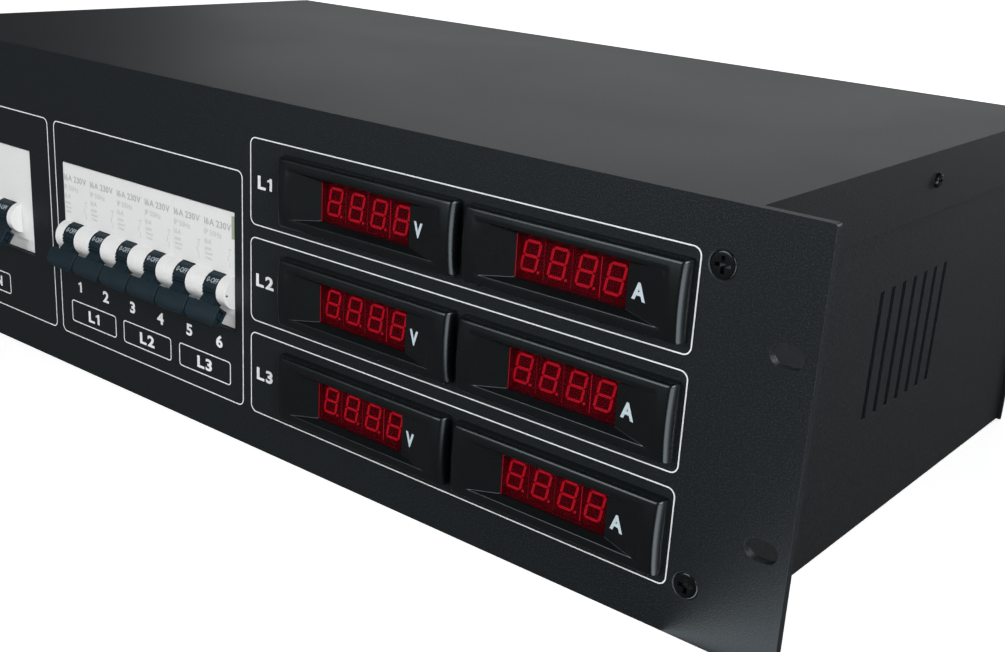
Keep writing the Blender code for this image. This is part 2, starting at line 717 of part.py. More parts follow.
def din_rail(look):
    """Top-hat rail that carries the devices."""
    lip = RAIL_HEIGHT / 2
    hat = RAIL_HAT / 2
    upper = [(0, lip), (0, hat - RAIL_SHEET), (RAIL_BULGE - RAIL_SHEET, hat - RAIL_SHEET)]
    back = [(RAIL_SHEET, lip), (RAIL_SHEET, hat), (RAIL_BULGE, hat)]
    outline = upper + [(y, -z) for y, z in reversed(upper)] + [(y, -z) for y, z in back] + back[::-1]
    outline = [(FRONT_Y + RAIL_Y + y, MID_Z + z) for y, z in outline]
    left, right = device_ends()
    rail = prism("din_rail", "X", outline, left - RAIL_OVERHANG, right + RAIL_OVERHANG)
    finish(rail, look, smooth=False)
    return rail


def phase_busbar(look):
    """Insulated comb bar from the residual current breaker's phases to all breakers."""
    seat = MID_Z + BODY_HEIGHT / 2 + GAP
    tip = MID_Z + BODY_HEIGHT / 2 - PRONG_LENGTH
    ends = lane_xs()[1:] + BREAKER_XS
    half_bar = BUSBAR_SHEET / 2
    bar = box("phase_busbar", (min(ends) - BUSBAR_END, ENTRY_Y - half_bar, seat),
              (max(ends) + BUSBAR_END, ENTRY_Y + half_bar, seat + BUSBAR_HEIGHT))
    half = PRONG_WIDTH / 2
    prongs = [box("prong", (middle - half, ENTRY_Y - PRONG_SHEET / 2, tip),
                  (middle + half, ENTRY_Y + PRONG_SHEET / 2, seat + BUSBAR_HEIGHT / 2)) for middle in ends]
    join(bar, group("prongs", prongs))
    finish(bar, look, smooth=False)
    return bar


# Meters, with y = 0 at the panel's front and x = z = 0 at the bezel's middle

def meter_places():
    """Middle points of the six meters, top row first."""
    return [(middle, MID_Z + METER_RAISE + row * METER_PITCH_Z)
            for row in (1, 0, -1) for middle in METER_COLUMNS.values()]


def meter_names(kind):
    """Names of one kind of meter piece, in the order of meter_places."""
    return [f"meter_l{row}_{column}_{kind}" for row in (1, 2, 3) for column in METER_COLUMNS]


def bezel(name):
    """Bowed front frame with round corners and softened front edges."""
    beyond = BEZEL_HEIGHT / 2 + BEZEL_CORNER
    heights = [beyond * (2 * step / BOW_STEPS - 1) for step in range(BOW_STEPS + 1)]
    front = [(-BEZEL_RISE - BEZEL_BOW * (1 - (2 * z / BEZEL_HEIGHT) ** 2), z) for z in heights]
    section = [(-GAP, beyond), (-GAP, -beyond)] + front
    frame = prism(name, "X", section, -BEZEL_WIDTH, BEZEL_WIDTH)
    outline = rounded_rectangle(BEZEL_WIDTH, BEZEL_HEIGHT, BEZEL_CORNER, 5)
    plan = prism("bezel_plan", "Y", outline, -2 * BEZEL_RISE, 0)
    combine(frame, plan, "INTERSECT")
    settle(frame)
    shape = bmesh.new()
    shape.from_mesh(frame.data)
    shape.normal_update()
    rim = [edge for edge in shape.edges
           if edge.calc_face_angle(0) > math.radians(EDGE_TURN)
           and max(vertex.co.y for vertex in edge.verts) < -BEZEL_RISE / 2
           and min(abs(face.normal.y) for face in edge.link_faces) < FRONT_LEAN
           and max(abs(face.normal.y) for face in edge.link_faces) > FRONT_LEAN]
    bmesh.ops.bevel(shape, geom=rim, offset=BEZEL_EDGE, segments=3, profile=0.5, affect="EDGES")
    shape.to_mesh(frame.data)
    shape.free()
    return frame


def pocket_cutter():
    """Sunken surround of the window, flaring out to the bezel's bowed front."""
    depth = POCKET_TIP_RISE - WINDOW_FLOOR
    slope_x = (POCKET_TIP_X - WINDOW_WIDTH / 2) / depth
    slope_z = (POCKET_TIP_Z - WINDOW_HEIGHT / 2) / depth
    reach = 2 * depth
    pocket = box("meter_pocket", (-WINDOW_WIDTH / 2, -WINDOW_FLOOR - reach, -WINDOW_HEIGHT / 2),
                 (WINDOW_WIDTH / 2, -WINDOW_FLOOR, WINDOW_HEIGHT / 2))
    for vertex in pocket.data.vertices:
        if vertex.co.y < -WINDOW_FLOOR - reach / 2:
            vertex.co.x += math.copysign(slope_x * reach, vertex.co.x)
            vertex.co.z += math.copysign(slope_z * reach, vertex.co.z)
    return pocket


def meter_case(name):
    """Bezel and hollow housing in one moulding, with a catch on each end."""
    case = bezel(name)
    half_x = HOUSING_WIDTH / 2
    half_z = HOUSING_HEIGHT / 2
    housing = box("meter_housing", (-half_x, -BEZEL_RISE / 2, -half_z), (half_x, HOUSING_DEPTH, half_z))
    join(case, housing)
    catch_y = PANEL_THICKNESS + GAP
    for side in (-1, 1):
        outline = [(side * (half_x - HOUSING_WALL / 2), catch_y), (side * (half_x + CATCH_RISE), catch_y),
                   (side * (half_x - HOUSING_WALL / 2), catch_y + CATCH_LENGTH)]
        join(case, prism("meter_catch", "Z", outline, -half_z / 2, half_z / 2))
    inner_x = half_x - HOUSING_WALL
    inner_z = half_z - HOUSING_WALL
    hollow = box("meter_hollow", (-inner_x, FRONT_WALL - WINDOW_FLOOR, -inner_z),
                 (inner_x, 2 * HOUSING_DEPTH, inner_z))
    window = box("meter_window_hole", (-WINDOW_WIDTH / 2, -2 * WINDOW_FLOOR, -WINDOW_HEIGHT / 2),
                 (WINDOW_WIDTH / 2, FRONT_WALL, WINDOW_HEIGHT / 2))
    cut(case, hollow, pocket_cutter(), window)
    return case


def meter_window(name):
    """Red filter: a raised middle in the bezel's opening, on a wider rim behind it."""
    half_x = WINDOW_WIDTH / 2 - WINDOW_GAP
    half_z = WINDOW_HEIGHT / 2 - WINDOW_GAP
    seat = FRONT_WALL - WINDOW_FLOOR + GAP
    window = box(name, (-half_x, GAP - WINDOW_FLOOR, -half_z), (half_x, seat + FRONT_WALL / 2, half_z))
    rim = box("window_rim", (-half_x - WINDOW_RIM, seat, -half_z - WINDOW_RIM),
              (half_x + WINDOW_RIM, seat + FRONT_WALL, half_z + WINDOW_RIM))
    join(window, rim)
    return window


def meter_display(name):
    """Digit modules on their board, and the terminal board behind it on two posts."""
    left = -DIGIT_HIDDEN_X - WINDOW_WIDTH / 2
    low = -DIGIT_HIDDEN_Z - WINDOW_HEIGHT / 2
    half_x = HOUSING_WIDTH / 2 - HOUSING_WALL - GAP
    half_z = HOUSING_HEIGHT / 2 - HOUSING_WALL - GAP
    display = box(name, (-half_x, BOARD_FRONT, -half_z), (half_x, BOARD_FRONT + BOARD, half_z))
    digits = []
    for number in range(DIGIT_COUNT):
        start = left + number * DIGIT_PITCH
        digits.append(box("digit", (start, DISPLAY_FRONT, low),
                          (start + DIGIT_PITCH - GAP, BOARD_FRONT + BOARD / 2, low + DIGIT_HEIGHT)))
    back = HOUSING_DEPTH - BOARD
    width, height, depth = METER_TERMINAL
    terminal_board = box("terminal_board", (-half_x, back - BOARD, -half_z), (half_x, back, half_z))
    block = box("terminal", (-width / 2, back - BOARD / 2, -height / 2),
                (width / 2, back + depth, height / 2))
    posts = [cylinder("board_post", "Y", (side * BOARD_POST_SPACING / 2, 0), BOARD_FRONT + BOARD / 2,
                      back - BOARD / 2, BOARD_POST, 8) for side in (-1, 1)]
    join(display, group("digits", digits), terminal_board, block, group("board_posts", posts))
    return display


# Rear sockets and inlet, with y = 0 at the rear panel's outer face and x = z = 0 at their middle

def socket_places():
    """Middle points of the sockets: upper then lower, column by column."""
    columns = [SOCKET_LAST_X - SOCKET_PITCH_X * n for n in reversed(range(SOCKET_COLUMN_COUNT))]
    return [(x, z) for x in columns for z in SOCKET_ZS]


def hinge_axis(collar, rise):
    """The hinge's (y, z) for a collar's radius and rise."""
    return rise + HINGE_RISE, collar + LID_OVERLAP + HINGE_OUT


def hinge_lugs(collar, well, rise):
    """Two lugs on the collar that hold the lid's pin."""
    axis_y, axis_z = hinge_axis(collar, rise)
    low_z = math.sqrt(well ** 2 - LUG_INNER ** 2) + GAP
    front = rise - GAP
    start = math.atan2(-math.sqrt(LUG_RADIUS ** 2 - (axis_y - front) ** 2), front - axis_y)
    arc = [start + (math.pi / 2 - start) * step / 6 for step in range(7)]
    outline = [(rise - LUG_ROOT, low_z), (front, low_z)]
    outline += [(axis_y + LUG_RADIUS * math.cos(angle), axis_z + LUG_RADIUS * math.sin(angle))
                for angle in arc]
    outline += [(rise - LUG_ROOT, axis_z + LUG_RADIUS)]
    lugs = []
    for side in (-1, 1):
        ends = sorted((side * LUG_INNER, side * (LUG_INNER + LUG_WIDTH)))
        lug = prism("hinge_lug", "X", outline, *ends)
        cut(lug, cylinder("pin_hole", "X", (axis_y, axis_z), -LUG_INNER - 2 * LUG_WIDTH,
                          LUG_INNER + 2 * LUG_WIDTH, HINGE_PIN + HINGE_GAP, 8))
        settle(lug)
        lugs.append(lug)
    return lugs


def hinged_lid(name, collar, rise):
    """Round lid with its hinge barrel, pin and finger tab, and the origin on the hinge's axis."""
    axis_y, axis_z = hinge_axis(collar, rise)
    radius = collar + LID_OVERLAP
    low = rise + GAP
    high = low + LID_THICKNESS
    lid = cylinder(name, "Y", (0, 0), low, high, radius, ROUND_SIDES)
    inner = LUG_INNER - HINGE_GAP
    arm = box("lid_arm", (-inner, low + GAP / 3, collar / 2), (inner, high - GAP / 3, axis_z))
    barrel = cylinder("lid_barrel", "X", (axis_y, axis_z), -inner, inner, HINGE_BARREL, 10)
    reach = LUG_INNER + LUG_WIDTH - HINGE_GAP
    pin = cylinder("lid_pin", "X", (axis_y, axis_z), -reach, reach, HINGE_PIN, 8)
    tab_width, tab_length = LID_TAB
    tab = box("lid_tab", (-tab_width / 2, low + GAP / 3, -radius - tab_length),
              (tab_width / 2, high - GAP / 3, -collar / 2))
    join(lid, arm, barrel, pin, tab)
    settle(lid)
    lid.data.transform(Matrix.Translation((0, -axis_y, -axis_z)))
    return lid


def flange(name, size):
    """Square flange on the rear panel."""
    return prism(name, "Y", rounded_rectangle(size, size, FLANGE_CORNER, 3), GAP, FLANGE_THICKNESS)


def socket_body(name):
    """Flange, collar, well with two contact holes, and earth clips."""
    body = flange(name, SOCKET_FLANGE)
    collar = cylinder("socket_collar", "Y", (0, 0), FLANGE_THICKNESS / 2, SOCKET_RISE, SOCKET_COLLAR,
                      ROUND_SIDES)
    back = cylinder("socket_back", "Y", (0, 0), -SOCKET_DEPTH, FLANGE_THICKNESS / 2 + GAP, SOCKET_BACK, 16)
    join(body, back, collar, *hinge_lugs(SOCKET_COLLAR, SOCKET_WELL, SOCKET_RISE))
    floor = SOCKET_RISE - SOCKET_WELL_DEPTH
    well = cylinder("socket_well", "Y", (0, 0), floor, 2 * SOCKET_RISE, SOCKET_WELL, ROUND_SIDES)
    holes = [cylinder("contact_hole", "Y", (side * CONTACT_SPACING / 2, 0), floor - CONTACT_DEPTH,
                      floor + GAP, CONTACT_HOLE, 10) for side in (-1, 1)]
    cut(body, well, group("contact_holes", holes))
    width, length, thickness = EARTH_CLIP
    for side in (-1, 1):
        ends = sorted((side * (SOCKET_WELL - thickness), side * (SOCKET_WELL + thickness / 2)))
        join(body, box("earth_clip", (-width / 2, floor - GAP, ends[0]),
                       (width / 2, floor + length, ends[1])))
    return body


def inlet_body(look):
    """Flange, long round shroud and back of the five-pin inlet."""
    body = flange("inlet_body", INLET_FLANGE)
    shroud = cylinder("inlet_shroud", "Y", (0, 0), FLANGE_THICKNESS / 2, INLET_RISE, INLET_COLLAR,
                      ROUND_SIDES)
    back = cylinder("inlet_back", "Y", (0, 0), -INLET_DEPTH, FLANGE_THICKNESS / 2 + GAP, INLET_BACK, 24)
    join(body, back, shroud, *hinge_lugs(INLET_COLLAR, INLET_WELL, INLET_RISE))
    floor = INLET_RISE - INLET_WELL_DEPTH - INSERT_THICKNESS
    cut(body, cylinder("inlet_well", "Y", (0, 0), floor, 2 * INLET_RISE, INLET_WELL, ROUND_SIDES))
    settle(body)
    body.location = (INLET_X, REAR_Y, MID_Z)
    finish(body, look)
    return body


def inlet_pin_places():
    """Each pin's (x, z) and radius, the earth pin at the bottom first."""
    places = []
    for number in range(PIN_COUNT):
        angle = math.radians(-90 + 360 * number / PIN_COUNT)
        radius = EARTH_PIN_RADIUS if number == 0 else PIN_RADIUS
        places.append(((PIN_CIRCLE * math.cos(angle), PIN_CIRCLE * math.sin(angle)), radius))
    return places


def inlet_insert(look):
    """Contact carrier at the bottom of the inlet's well, with five round pins."""
    floor = INLET_RISE - INLET_WELL_DEPTH
    tip = INLET_RISE - PIN_SETBACK
    insert = cylinder("inlet_insert", "Y", (0, 0), floor - INSERT_THICKNESS + GAP, floor, INLET_WELL - GAP,
                      ROUND_SIDES)
    pins = []
    for place, radius in inlet_pin_places():
        shaft = cylinder("inlet_pin", "Y", place, floor - INSERT_THICKNESS / 2, tip - radius / 2, radius, 12)
        end = cylinder("pin_tip", "Y", place, tip - radius / 2 - GAP, tip, radius - GAP / 10, 12,
                       end_radius=radius / 2)
        join(shaft, end)
        pins.append(shaft)
    join(insert, group("pins", pins))
    settle(insert)
    insert.location = (INLET_X, REAR_Y, MID_Z)
    finish(insert, look)
    return insert


# Transformers, terminal strip and leads

def lane_xs():
    """Supply leads' places across the case: neutral first, then the three phases."""
    return [RCD_X + entry for entry in RCD_ENTRIES]


def current_transformers(look):
    """One block with a bore round each phase's supply lead."""
    lanes = lane_xs()[1:]
    out = TRANSFORMER_BORE + TRANSFORMER_WALL
    low, high = TRANSFORMER_Y - TRANSFORMER_LENGTH / 2, TRANSFORMER_Y + TRANSFORMER_LENGTH / 2
    block = box("current_transformers", (lanes[0] - out, low, FLOOR_Z),
                (lanes[-1] + out, high, SUPPLY_Z + out))
    bores = [cylinder("bore", "Y", (lane, SUPPLY_Z), low - GAP, high + GAP, TRANSFORMER_BORE, 12)
             for lane in lanes]
    cut(block, group("bores", bores))
    finish(block, look)
    return block


def bent_route(corners, bend, steps=2):
    """A route with each corner replaced by an arc."""
    route = [Vector(corners[0])]
    for before, corner, after in zip(corners, corners[1:], corners[2:]):
        corner = Vector(corner)
        into = Vector(before) - corner
        out = Vector(after) - corner
        half_angle = into.angle(out) / 2
        trim = min(bend / math.tan(half_angle), TRIM_SHARE * into.length, TRIM_SHARE * out.length)
        radius = trim * math.tan(half_angle)
        bisector = (into.normalized() + out.normalized()).normalized()
        middle = corner + bisector * (radius / math.sin(half_angle))
        first = corner + into.normalized() * trim - middle
        last = corner + out.normalized() * trim - middle
        for step in range(steps + 1):
            blend = first.lerp(last, step / steps).normalized()
            route.append(middle + blend * radius)
    route.append(Vector(corners[-1]))
    return route


def lead(corners, radius, bend):
    """An insulated lead along a bent route."""
    route = bent_route(corners, bend)
    curve = bpy.data.curves.new("lead", "CURVE")
    curve.dimensions = "3D"
    curve.bevel_depth = radius
    curve.bevel_resolution = 1
    curve.render_resolution_u = 0
    curve.use_fill_caps = True
    spline = curve.splines.new("POLY")
    spline.points.add(len(route) - 1)
    for point, place in zip(spline.points, route):
        point.co = (*place, 1)
    return curve_to_mesh("lead", curve, Matrix.Identity(4))


def supply_leads():
    """From the inlet's pins, through the transformers, to the residual current breaker."""
    start = REAR_Y - INLET_DEPTH - GAP
    places = sorted(place for place, radius in inlet_pin_places()[1:])
    low_entry = MID_Z - BODY_HEIGHT / 2 + LEAD_SEAT
    leads = []
    for (pin_x, pin_z), lane in zip(places, lane_xs()):
        pin = INLET_X + pin_x
        height = MID_Z + pin_z
        step = (start - SUPPLY_DROP_Y) / 3
        leads.append(lead([(pin, start, height), (pin, start - step, height),
                           (lane, start - 2 * step, height),
                           (lane, SUPPLY_DROP_Y, height), (lane, SUPPLY_DROP_Y, SUPPLY_Z),
                           (lane, ENTRY_Y, SUPPLY_Z), (lane, ENTRY_Y, low_entry)],
                          SUPPLY_RADIUS, SUPPLY_BEND))
    return leads


def branch_leads():
    """From each breaker's lower terminal to its socket."""
    low_entry = MID_Z - BODY_HEIGHT / 2 + LEAD_SEAT
    leads = []
    for number, (start, (socket_x, socket_z)) in enumerate(zip(BREAKER_XS, socket_places())):
        upper = number % 2 == 0
        lane = socket_x - CONTACT_SPACING / 2 + (-LANE_OFFSET if upper else LANE_OFFSET)
        turn = BRANCH_FIRST_Y + (BREAKER_COUNT - 1 - number) * BRANCH_STEP_Y
        rise = RISE_UPPER_Y if upper else RISE_LOWER_Y
        leads.append(lead([(start, ENTRY_Y, low_entry), (start, ENTRY_Y, BRANCH_Z), (start, turn, BRANCH_Z),
                           (lane, turn, BRANCH_Z), (lane, rise, BRANCH_Z), (lane, rise, socket_z),
                           (lane, REAR_Y - SOCKET_DEPTH - GAP, socket_z)], BRANCH_RADIUS, BRANCH_BEND))
    return leads


def wiring_loom(look):
    """Inner leads, held together by the terminal strip that they pass."""
    lanes = lane_xs() + BREAKER_XS
    top = FLOOR_Z + UNDER_DEVICES - STRIP_CLEARANCE
    strip = box("wiring_loom", (min(lanes) - STRIP_END, STRIP_Y - STRIP_WIDTH / 2, FLOOR_Z),
                (max(lanes) + STRIP_END, STRIP_Y + STRIP_WIDTH / 2, top))
    join(strip, group("leads", supply_leads() + branch_leads()))
    finish(strip, look)
    return strip


# Assembly

def make_case():
    """Panels, tray, cover and screws."""
    black = material("black_powder_coat", (0.012, 0.012, 0.014), 0.55)
    front_panel(black)
    chassis_tray(black)
    top_cover(black)
    rear_panel(black)
    dark = material("black_screw", (0.02, 0.02, 0.022), 0.35, 0.6)
    spots = [(f"panel_screw_{n + 1}", (x, FRONT_Y, z)) for n, (x, z) in enumerate(panel_screw_places())]
    for item in copies(panel_screw("panel_screw_1"), spots):
        finish(item, dark)


def make_switchgear():
    """Breakers, residual current breaker, rail and busbar."""
    white = material("breaker_plastic", (0.72, 0.71, 0.68), 0.45)
    slate = material("lever_plastic", (0.022, 0.034, 0.045), 0.4)
    case = breaker_case("breaker_1_case")
    finish(case, white)
    spots = [(f"breaker_{n + 1}_case", (x, FRONT_Y, MID_Z)) for n, x in enumerate(BREAKER_XS)]
    for item in copies(case, spots):
        finish(item, white)
    lever = toggle_lever("breaker_1_lever", DRUM_WIDTH, MODULE_PITCH - LEVER_GAP)
    spots = [(f"breaker_{n + 1}_lever", (x, PIVOT_Y, PIVOT_Z)) for n, x in enumerate(BREAKER_XS)]
    for item in copies(lever, spots):
        finish(item, slate)
    rcd_case(white)
    lever = toggle_lever("rcd_lever", RCD_DRUM_WIDTH, RCD_BAR_WIDTH)
    for item in copies(lever, [("rcd_lever", (RCD_X + RCD_TOGGLE_X, PIVOT_Y, PIVOT_Z))]):
        finish(item, slate)
    test_button(material("button_plastic", (0.5, 0.3, 0.03), 0.4))
    din_rail(material("zinc_plated_steel", (0.55, 0.56, 0.57), 0.35, 1.0))
    phase_busbar(material("busbar_insulation", (0.25, 0.26, 0.27), 0.5))


def make_meters():
    """Cases, windows and displays of the six meters."""
    looks = {
        "case": material("meter_plastic", (0.008, 0.010, 0.011), 0.35),
        "window": material("red_filter", (0.35, 0.01, 0.02), 0.15, alpha=0.6),
        "display": material("display_plastic", (0.2, 0.02, 0.03), 0.5),
    }
    makers = {"case": meter_case, "window": meter_window, "display": meter_display}
    for kind, make in makers.items():
        names = meter_names(kind)
        spots = [(name, (x, FRONT_Y, z)) for name, (x, z) in zip(names, meter_places())]
        for item in copies(make(names[0]), spots):
            finish(item, looks[kind], smooth=False)


def make_rear():
    """Sockets, inlet and their lids."""
    blue = material("socket_plastic", (0.03, 0.06, 0.16), 0.45)
    red = material("inlet_plastic", (0.45, 0.02, 0.02), 0.45)
    spots = [(f"socket_{n + 1}_body", (x, REAR_Y, z)) for n, (x, z) in enumerate(socket_places())]
    for item in copies(socket_body("socket_1_body"), spots):
        finish(item, blue)
    axis_y, axis_z = hinge_axis(SOCKET_COLLAR, SOCKET_RISE)
    spots = [(f"socket_{n + 1}_lid", (x, REAR_Y + axis_y, z + axis_z))
             for n, (x, z) in enumerate(socket_places())]
    for item in copies(hinged_lid("socket_1_lid", SOCKET_COLLAR, SOCKET_RISE), spots):
        finish(item, blue)
    inlet_body(red)
    inlet_insert(material("insert_plastic", (0.2, 0.2, 0.2), 0.5))
    axis_y, axis_z = hinge_axis(INLET_COLLAR, INLET_RISE)
    lid = hinged_lid("inlet_lid", INLET_COLLAR, INLET_RISE)
    for item in copies(lid, [("inlet_lid", (INLET_X, REAR_Y + axis_y, MID_Z + axis_z))]):
        finish(item, red)


def make_inside():
    """Transformers and leads."""
    current_transformers(material("transformer_plastic", (0.02, 0.05, 0.15), 0.5))
    wiring_loom(material("lead_insulation", (0.05, 0.03, 0.02), 0.5))


def parent_all():
    """Hang every piece on one empty at the origin."""
    root = bpy.data.objects.new("assembly", None)
    bpy.data.collections[PARTS].objects.link(root)
    for piece in list(bpy.data.collections[PARTS].objects) + list(bpy.data.collections[CUTTERS].objects):
        if piece != root:
            piece.parent = root


def main():
    """Build the whole box."""
    clear_scene()
    make_case()
    make_switchgear()
    make_meters()
    make_rear()
    make_inside()
    parent_all()


main()
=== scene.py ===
"""Looks of the rack power distribution box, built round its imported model.

Metres, +Z up, front panel facing -Y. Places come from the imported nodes' boxes.
"""

import math

import bmesh
import bpy
from mathutils import Matrix, Vector


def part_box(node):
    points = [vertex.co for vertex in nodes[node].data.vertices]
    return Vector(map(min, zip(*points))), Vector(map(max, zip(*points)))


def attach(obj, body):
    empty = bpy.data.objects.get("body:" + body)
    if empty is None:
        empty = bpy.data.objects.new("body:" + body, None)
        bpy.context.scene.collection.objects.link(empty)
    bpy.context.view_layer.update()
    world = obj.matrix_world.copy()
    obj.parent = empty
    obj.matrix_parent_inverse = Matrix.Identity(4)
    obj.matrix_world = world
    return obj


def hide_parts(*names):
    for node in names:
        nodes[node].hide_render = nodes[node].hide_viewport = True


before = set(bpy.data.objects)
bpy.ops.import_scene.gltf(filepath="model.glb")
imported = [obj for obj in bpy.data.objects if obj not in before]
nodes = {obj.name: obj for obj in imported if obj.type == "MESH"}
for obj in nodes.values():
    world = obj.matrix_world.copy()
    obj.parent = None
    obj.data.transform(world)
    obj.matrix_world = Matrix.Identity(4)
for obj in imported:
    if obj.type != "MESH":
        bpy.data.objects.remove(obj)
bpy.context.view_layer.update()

# Camera: focal length in pixels of the photo, place, and the axes of the view
PHOTO_WIDTH = 1005
FOCAL_PIXELS = 1320.81
SENSOR = 36.0
CLIP_START = 0.01
CAMERA_PLACE = (0.37374, -0.42856, 0.21008)
CAMERA_RIGHT = (0.775428, 0.628703, 0.058696)
CAMERA_UP = (-0.247230, 0.216759, 0.944401)
CAMERA_BACK = (0.581024, -0.746826, 0.323515)


def middle_x(node):
    """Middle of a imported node's box along X."""
    low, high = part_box(node)
    return (low.x + high.x) / 2


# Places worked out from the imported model
panel_low, panel_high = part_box("front_panel")
cover_low, cover_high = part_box("top_cover")
rear_low, rear_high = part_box("rear_panel")
breaker_low, breaker_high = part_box("breaker_1_case")
FRONT_Y = panel_low.y
PANEL_BACK = panel_high.y
REAR_Y = rear_high.y
MID_Z = (panel_low.z + panel_high.z) / 2
BREAKERS = [f"breaker_{number}" for number in range(1, 7)]
SOCKETS = [f"socket_{number}" for number in range(1, 7)]
METERS = [f"meter_l{row}_{column}" for row in (1, 2, 3) for column in ("volt", "amp")]
BREAKER_XS = [middle_x(name + "_case") for name in BREAKERS]
BREAKER_WIDTH = breaker_high.x - breaker_low.x
RCD_X = middle_x("rcd_case")
RCD_LEVER_X = middle_x("rcd_lever")

# White print on the panel; heights are from the panel's middle
FILM = 0.00006  # thickness of a printed film
FILM_GAP = 0.00002  # between a film and what it lies on
LINE = 0.00042  # width of a printed line
FRAME_CORNER = 0.0026
CORNER_STEPS = 8
METER_FRAME_X = (0.0212, 0.2039)
METER_FRAME_HEIGHT = 0.0312
METER_FRAME_PITCH = 0.036
METER_FRAME_TOP = 0.0520
SWITCH_FRAME_Z = (-0.0512, 0.0386)
BREAKER_FRAME_X = (-0.0994, 0.0166)
RCD_FRAME_X = (-0.2039, -0.1040)
LABEL_BOX = (0.0302, 0.0091)
LABEL_CORNER = 0.0012
LABEL_Z = -0.04045
NUMBER_Z = -0.0290
LETTER_HEIGHT = 0.00445
LETTER_STRETCH = 1.36
NUMBER_STRETCH = 1.22
PHASE_X = 0.0286
PHASE_RISE = 0.0001  # of the phase names over the meters' middles

# Letters, in heights of a capital
CAPITAL = 0.70  # of the built-in font at size 1
BOLD = 0.048  # outline's growth of the panel's letters
PLAIN = 0.016  # and of small print
GLYPH_GAP = 0.14
SPACE = 0.32
ONE = ((0.20, 0.0), (0.40, 0.0), (0.40, 1.0), (0.24, 1.0), (0.17, 0.87), (0.0, 0.81), (0.0, 0.67),
       (0.20, 0.71))

# Breakers: label face, lever axis and print; heights are from the panel's middle
LABEL_Y = FRONT_Y + 0.0004
LEVER_AXIS = (FRONT_Y + 0.0015, -0.0082)
DRUM_RADIUS = 0.0063
DRUM_TEXT = 0.0020
DRUM_TEXT_STRETCH = 0.80
DRUM_TEXT_SHIFT = 0.0006
DRUM_TEXT_SLICES = 4
DRUM_TEXT_TURN = math.radians(41)
DRUM_RIBS = [math.radians(turn) for turn in (16, 4, -8)]
RIB_SIZE = (0.0068, 0.0006, 0.0002)
CASE_REACH = 0.00012  # by which each side of a breaker's front closes the seam to the next
LABEL_LEFT = -0.0083  # print's left edge from a breaker's middle
LABEL_ROWS = (("1P 50Hz", 0.0021, 0.0123), ("16A", 0.0019, 0.0087), ("6000", 0.0012, 0.0058),
              ("20mm2", 0.0010, 0.0040), ("2.5Nm", 0.0010, 0.0022))  # words, height, place
TITLE = ("16A 230V", 0.0025, 1.05)  # words, height, stretch
TITLE_Z = 0.0164
SIGN_INSET = 0.0022  # of the switch sign from the print's right edge
SIGN_BARS = (((-0.00012, 0.0010), (0.00012, 0.0036)), ((-0.00012, 0.0056), (0.00012, 0.0080)),
             ((-0.0011, 0.0034), (-0.0008, 0.0056)), ((-0.0010, 0.0080), (0.0010, 0.0083)))
RCD_LABEL_LEFT = -0.031
RCD_ROWS = (("63A 400V", 0.0028, 0.0165), ("30mA", 0.0024, 0.0120), ("4P 50Hz", 0.0016, 0.0085),
            ("10000", 0.0012, 0.0058))
TEST_TEXT = 0.0016
TEST_RISE = 0.0022  # of the word over the test button
PIN_PLACE = (-0.0036, -0.0083)
PIN_RADIUS = 0.0004
# Greenish grey strip along the right edge of the last breaker's label face
EDGE_STRIP_Z = (0.0124, 0.0211)
EDGE_STRIP_WIDTH = 0.0016
EDGE_STRIP_INSET = 0.0002

# Meter bezels: sizes of the soft front
BEZEL_CORNER = 0.0009
BEZEL_RISE = 0.0042
BEZEL_BOW = 0.001
BEZEL_EDGE = 0.0012
END_ROLL = 0.0054  # width of the gently rounded ends
END_DROP = 0.0003
END_SLANT = 0.0015  # width of the slanted strip at each end
END_SLOPE = 0.75  # fall of the strip for its width
END_SOFT = 0.0004  # rounding between the front and the strip
SINK_DEPTH = 0.0003  # softly sunk middle
SINK_HALF = (0.0352, 0.0099)
SINK_SOFT = 0.0022
WINDOW_SIZE = (0.0403, 0.0135)
WINDOW_FLOOR = 0.0021
POCKET_TIP = (0.033, 0.0047, 0.0086)
POCKET_EDGE = 0.00022
GRID_STEPS = ((0.0006, 0.0003), (0.0005, 0.00014))  # across and up, in front of the window and past it
EDGE_ANGLES = (0, 18, 36, 54, 70, 82, 90)
HOUSING_SIZE = (0.076, 0.0218)
HOUSING_WALL = 0.0012
UNIT_PLACE = (0.0247, -0.0002)
UNIT_SIZE = {"volt": 0.0048, "amp": 0.0049}
UNIT_STRETCH = {"volt": 0.92, "amp": 0.98}
DIGIT_COUNT = 4
DIGIT_PITCH = 0.0102
DIGIT_FIRST = -0.0165  # middle of the first digit from the window's middle
DIGIT_RISE = 0.0001
DIGIT_SIZE = (0.0063, 0.0100)
DIGIT_SLANT = math.radians(11)
SEGMENT = 0.00088
SEGMENT_GAP = 0.00014
POINT_OUT = 0.9  # a digit's point, in widths of a segment
POINT_RADIUS = 0.58
POINT_STEPS = 10
# Width of the glowing strips of painted reflection at the display's seams and the window's left edge
REFLECTION_STRIP_WIDTH = 0.0002

# Screws
PANEL_SCREW_SINK = 0.00005
PANEL_SCREW_REACH = 0.0095
PANEL_HEAD = ((0, -0.0001), (0.55, 0), (0.82, 0), (0.90, -0.00008), (0.96, -0.00024), (1.0, -0.0005))
PANEL_RECESS = (0.60, 0.145)  # arm and half width, in radii of the head
PANEL_RECESS_DEPTH = 0.0016
CASE_HEAD_RADIUS = 0.0026
CASE_HEAD_RISE = 0.0014
CASE_SHANK = (0.0012, 0.002)  # radius and length
CASE_HEAD = ((0, 1), (0.62, 1), (0.86, 0.86), (0.97, 0.5), (1, 0))
CASE_RECESS = (0.62, 0.115)
CASE_RECESS_FLOOR = 0.35  # in rises of the head
SIDE_SCREW_YS = (-0.095, 0.0, 0.095)
SIDE_SCREW_DROP = 0.010
REAR_SCREW_XS = (-0.207, -0.095, 0.0, 0.095, 0.207)
REAR_SCREW_INSET = 0.0058
FLANGE_SCREW = 0.0205
INLET_SCREW = 0.0325
FLANGE_DEPTH = 0.004

